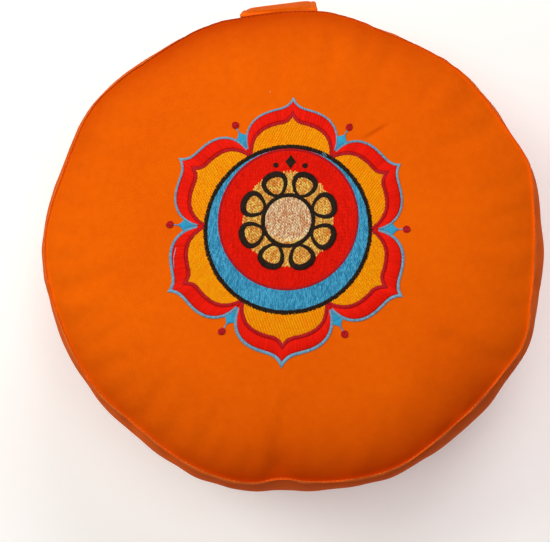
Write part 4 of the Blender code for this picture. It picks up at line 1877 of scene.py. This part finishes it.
        def shown(spots: Array) -> Array:
            """Whether spots lie in the part of the red disc that the gold leaves free."""
            radius = np.hypot(spots[:, 0], spots[:, 1] - self.disc_shift)
            return self.in_disc(spots, 1.2 * MM) & (radius > self.gold_radius - 2.0 * MM)

        self.lay(red, fill_area(shown, 50 * MM, plan, self.random), 0.66 * MM, 0.28 * MM, 0.05 * MM, 0.05 * MM)
        red.join()
        contour = ThreadWork("disc_dark_contour", DARK_RED, 30)
        bearing = np.linspace(0.0, 360.0, 721)
        shift = np.array([0.0, self.disc_shift])
        outer, inner = (
            polar(self.disc_radius + 0.1 * MM, bearing) + shift,
            polar(self.disc_radius - 1.6 * MM, bearing) + shift,
        )
        self.lay(contour, side_by_side(outer, inner, 0.5 * MM, 0.8), 0.66 * MM, 0.26 * MM, 0.34 * MM, 0.07 * MM)
        contour.join()
        gold = ThreadWork("gold_disc", GOLD, 31, variety=0.46)
        plan = FillPlan(90.0, 1.0 * MM, 1.7 * MM, zigzag_deg=25.0, ragged=1.9 * MM)
        self.lay(gold, fill_area(self.in_gold, 50 * MM, plan, self.random), 0.92 * MM, 0.42 * MM, 0.20 * MM, 0.16 * MM)
        gold.join()
        core = ThreadWork("pale_core", CREAM, 32, variety=0.44)
        plan = FillPlan(90.0, 0.92 * MM, 1.8 * MM, zigzag_deg=13.0, ragged=1.0 * MM)
        self.lay(core, fill_area(self.in_core, 50 * MM, plan, self.random), 0.98 * MM, 0.39 * MM, 0.20 * MM, 0.18 * MM)
        core.join()

    def rosette_loop(self) -> Edges:
        """Draw both edges of one rosette petal's line, about its axis, broad at the outside.

        Returns:
            The outer and the inner edge.
        """
        angle = np.linspace(0.0, TURN, 240)
        reach = 22.6 - 6.6 * np.cos(angle)
        side = 6.5 * np.sin(angle) * (1.0 - 0.26 * np.cos(angle))
        line = np.stack([reach, side], 1) * MM
        ahead = np.gradient(line, axis=0)
        ahead /= np.linalg.norm(ahead, axis=1, keepdims=True)
        across = np.stack([-ahead[:, 1], ahead[:, 0]], 1)
        half = (0.95 + 1.0 * (0.5 - 0.5 * np.cos(angle)) ** 1.3)[:, None] * MM
        return line + across * half, line - across * half

    def build_rosette(self) -> None:
        """Sew the black rosette over the discs, and the small black lozenge and dots above it."""
        rosette = ThreadWork("black_rosette", BLACK, 33)
        shift = np.array([0.0, self.disc_shift - 1.0 * MM])
        outer, inner = self.rosette_loop()
        starts, ends = side_by_side(outer, inner, 0.47 * MM, 0.8)
        for number in range(8):
            bearing = 45.0 * number + 22.5
            edges = turned(starts, bearing) + shift, turned(ends, bearing) + shift
            self.lay(rosette, edges, 1.28 * MM, 0.28 * MM, 0.24 * MM, 0.10 * MM)
        bearing = np.linspace(0.0, 360.0, 181)
        edges = side_by_side(polar(13.9 * MM, bearing) + shift, polar(16.5 * MM, bearing) + shift, 0.46 * MM, 0.8)
        self.lay(rosette, edges, 1.28 * MM, 0.28 * MM, 0.22 * MM, 0.10 * MM)
        rise = np.linspace(-4.2, 4.2, 40)
        width = 3.4 * (1.0 - np.abs(rise) / 4.3) ** 1.25 + 0.15
        left = np.stack([-width, rise + 40.4], 1) * MM
        self.lay(rosette, side_by_side(left, left * [-1.0, 1.0], 0.45 * MM), 0.82 * MM, 0.27 * MM, 0.24 * MM, 0.06 * MM)
        for side in (-9.0, 9.0):
            spot = np.array([side, 38.2]) * MM
            plan = FillPlan(90.0, 0.42 * MM, 6.0 * MM)
            starts, ends = fill_area(lambda s: np.hypot(s[:, 0], s[:, 1]) < 1.7 * MM, 3 * MM, plan, self.random)
            self.lay(rosette, (starts + spot, ends + spot), 0.82 * MM, 0.26 * MM, 0.30 * MM, 0.06 * MM)
        rosette.join()

    def build_strays(self) -> None:
        """Sew the few threads that lie out of place, and drop the lint on the panel."""
        strays = ThreadWork("stray_stitches", PALE_BLUE, 34)
        starts = np.array([[19.2, 46.0], [19.9, 46.6], [-66.6, -13.5], [-67.6, -20.0]]) * MM
        ends = np.array([[21.6, 43.2], [22.4, 43.9], [-67.6, -20.0], [-66.8, -26.0]]) * MM
        self.lay(strays, (starts, ends), 1.0 * MM, 0.2 * MM, 0.2 * MM)
        strays.join()
        lint = ThreadWork("lint", CREAM, 35)
        starts = np.array([[-31.0, 74.0], [-15.5, 83.0], [-15.1, 83.2]]) * MM
        ends = np.array([[-30.3, 74.4], [-14.7, 83.3], [-15.3, 83.9]]) * MM
        self.lay(lint, (starts, ends), 0.12 * MM, 0.12 * MM, 0.15 * MM)
        lint.join()

    def build(self) -> None:
        """Sew the whole lotus from the cloth upwards."""
        self.build_backings()
        self.build_petals()
        self.build_spandrels()
        self.build_ring()
        self.build_discs()
        self.build_rosette()
        self.build_strays()


# ---------------------------------------------------------------- studio


@dataclass(frozen=True)
class StudioLight:
    """A round soft light that looks at the cushion."""

    name: str
    bearing_deg: float
    rise_deg: float
    distance: float
    size: float
    power: float
    colour: tuple[float, float, float]


STUDIO_LIGHTS = (
    StudioLight("left_key", 156.0, 46.0, 2.0, 1.0, 12.6, (0.97, 1.06, 0.96)),
    StudioLight("left_low", 192.0, 36.0, 2.0, 1.0, 4.6, (0.98, 1.04, 0.96)),
    StudioLight("back_key", 72.0, 46.0, 2.0, 1.0, 13.6, (1.0, 0.95, 0.93)),
    StudioLight("overhead", 0.0, 89.0, 2.2, 1.5, 24.4, (1.0, 0.94, 0.92)),
)


@dataclass
class Studio:
    """A plain pale floor, soft lights and the photograph's camera."""

    camera_place: tuple[float, float, float] = (0.01445, -0.07739, 0.98649)
    toward_deg: float = 290.0
    height_deg: float = 85.5
    lens: float = 88.68
    floor_size: float = 24.0
    floor_colour: Colour = srgb(248, 248, 248)
    sky: float = 0.02

    def floor(self) -> None:
        """Lay the floor just under the base."""
        bpy.ops.object.select_all(action="DESELECT")
        bpy.ops.mesh.primitive_plane_add(size=self.floor_size, location=(0.0, 0.0, -0.0002))
        floor = bpy.context.object
        floor.name = "studio_floor"
        bpy.ops.object.transform_apply(location=True, rotation=False, scale=False)
        material, board, shader = new_material("floor_paper")
        place = board.add("ShaderNodeTexCoord").outputs["Object"]
        grain = board.noise(place, 90.0, 3.0)
        dim = tuple(part * 0.97 for part in self.floor_colour[:3]) + (1.0,)
        board.feed(shader.inputs["Base Color"], board.mix(grain, dim, self.floor_colour))
        shader.inputs["Roughness"].default_value = 0.9
        shader.inputs["Emission Color"].default_value = (1.0, 1.0, 1.0, 1.0)
        shader.inputs["Emission Strength"].default_value = 0.18
        floor.data.materials.append(material)

    def lights(self) -> None:
        """Four soft lights, the strongest from the left and from above, and no sky."""
        for light in STUDIO_LIGHTS:
            turn, rise = math.radians(light.bearing_deg), math.radians(light.rise_deg)
            level = light.distance * math.cos(rise)
            place = Vector((level * math.cos(turn), level * math.sin(turn), 0.12 + light.distance * math.sin(rise)))
            lamp = bpy.data.lights.new(light.name, "AREA")
            lamp.shape, lamp.size, lamp.energy, lamp.color = "DISK", light.size, light.power, light.colour
            obj = bpy.data.objects.new(light.name, lamp)
            obj.location = place
            obj.rotation_euler = (Vector((0.0, 0.0, 0.12)) - place).to_track_quat("-Z", "Y").to_euler()
            bpy.context.scene.collection.objects.link(obj)
        world = bpy.data.worlds.new("studio_sky")
        bpy.context.scene.world = world
        world.use_nodes = True
        sky = world.node_tree.nodes["Background"]
        sky.inputs["Color"].default_value = (1.0, 0.98, 0.96, 1.0)
        sky.inputs["Strength"].default_value = self.sky

    def camera(self) -> None:
        """Stand the camera where the photograph was taken from, with +Y up in the picture."""
        toward, height = math.radians(self.toward_deg), math.radians(self.height_deg)
        back = Vector((math.cos(toward) * math.cos(height), math.sin(toward) * math.cos(height), math.sin(height)))
        right = Vector((0.0, 1.0, 0.0)).cross(back).normalized()
        up = back.cross(right)
        data = bpy.data.cameras.new("photo_camera")
        data.lens, data.sensor_width = self.lens, 36.0
        data.clip_start, data.clip_end = 0.05, 20.0
        camera = bpy.data.objects.new("photo_camera", data)
        turn = Matrix((right, up, back)).transposed().to_4x4()
        camera.matrix_world = Matrix.Translation(self.camera_place) @ turn
        bpy.context.scene.collection.objects.link(camera)
        bpy.context.scene.camera = camera

    def build(self) -> None:
        """Set up the floor, the lights, the camera and the plain view of colours."""
        self.floor()
        self.lights()
        self.camera()
        view = bpy.context.scene.view_settings
        view.view_transform, view.look = "Standard", "None"
        view.exposure, view.gamma = 0.0, 1.0


def main() -> None:
    """Build the studio and every piece of the cushion in order."""
    logging.basicConfig(level=logging.INFO, format="%(name)s: %(message)s")
    Studio().build()
    cover_maker = CushionCover()
    cover = cover_maker.build()
    log.info("%s: %d triangles", cover.name, triangles(cover))
    SeamStitching(cover_maker, "upper_seam_stitching", "upper_ridge", 0, 51).build(cover)
    SeamStitching(cover_maker, "lower_seam_stitching", "lower_ridge", 0, 52).build(cover)
    strap_maker = CarryStrap()
    strap = strap_maker.build()
    strap_rows = strap_maker.stitching()
    Lotus(ClothHeights().measure(cover)).build()


if __name__ == "__main__":
    main()
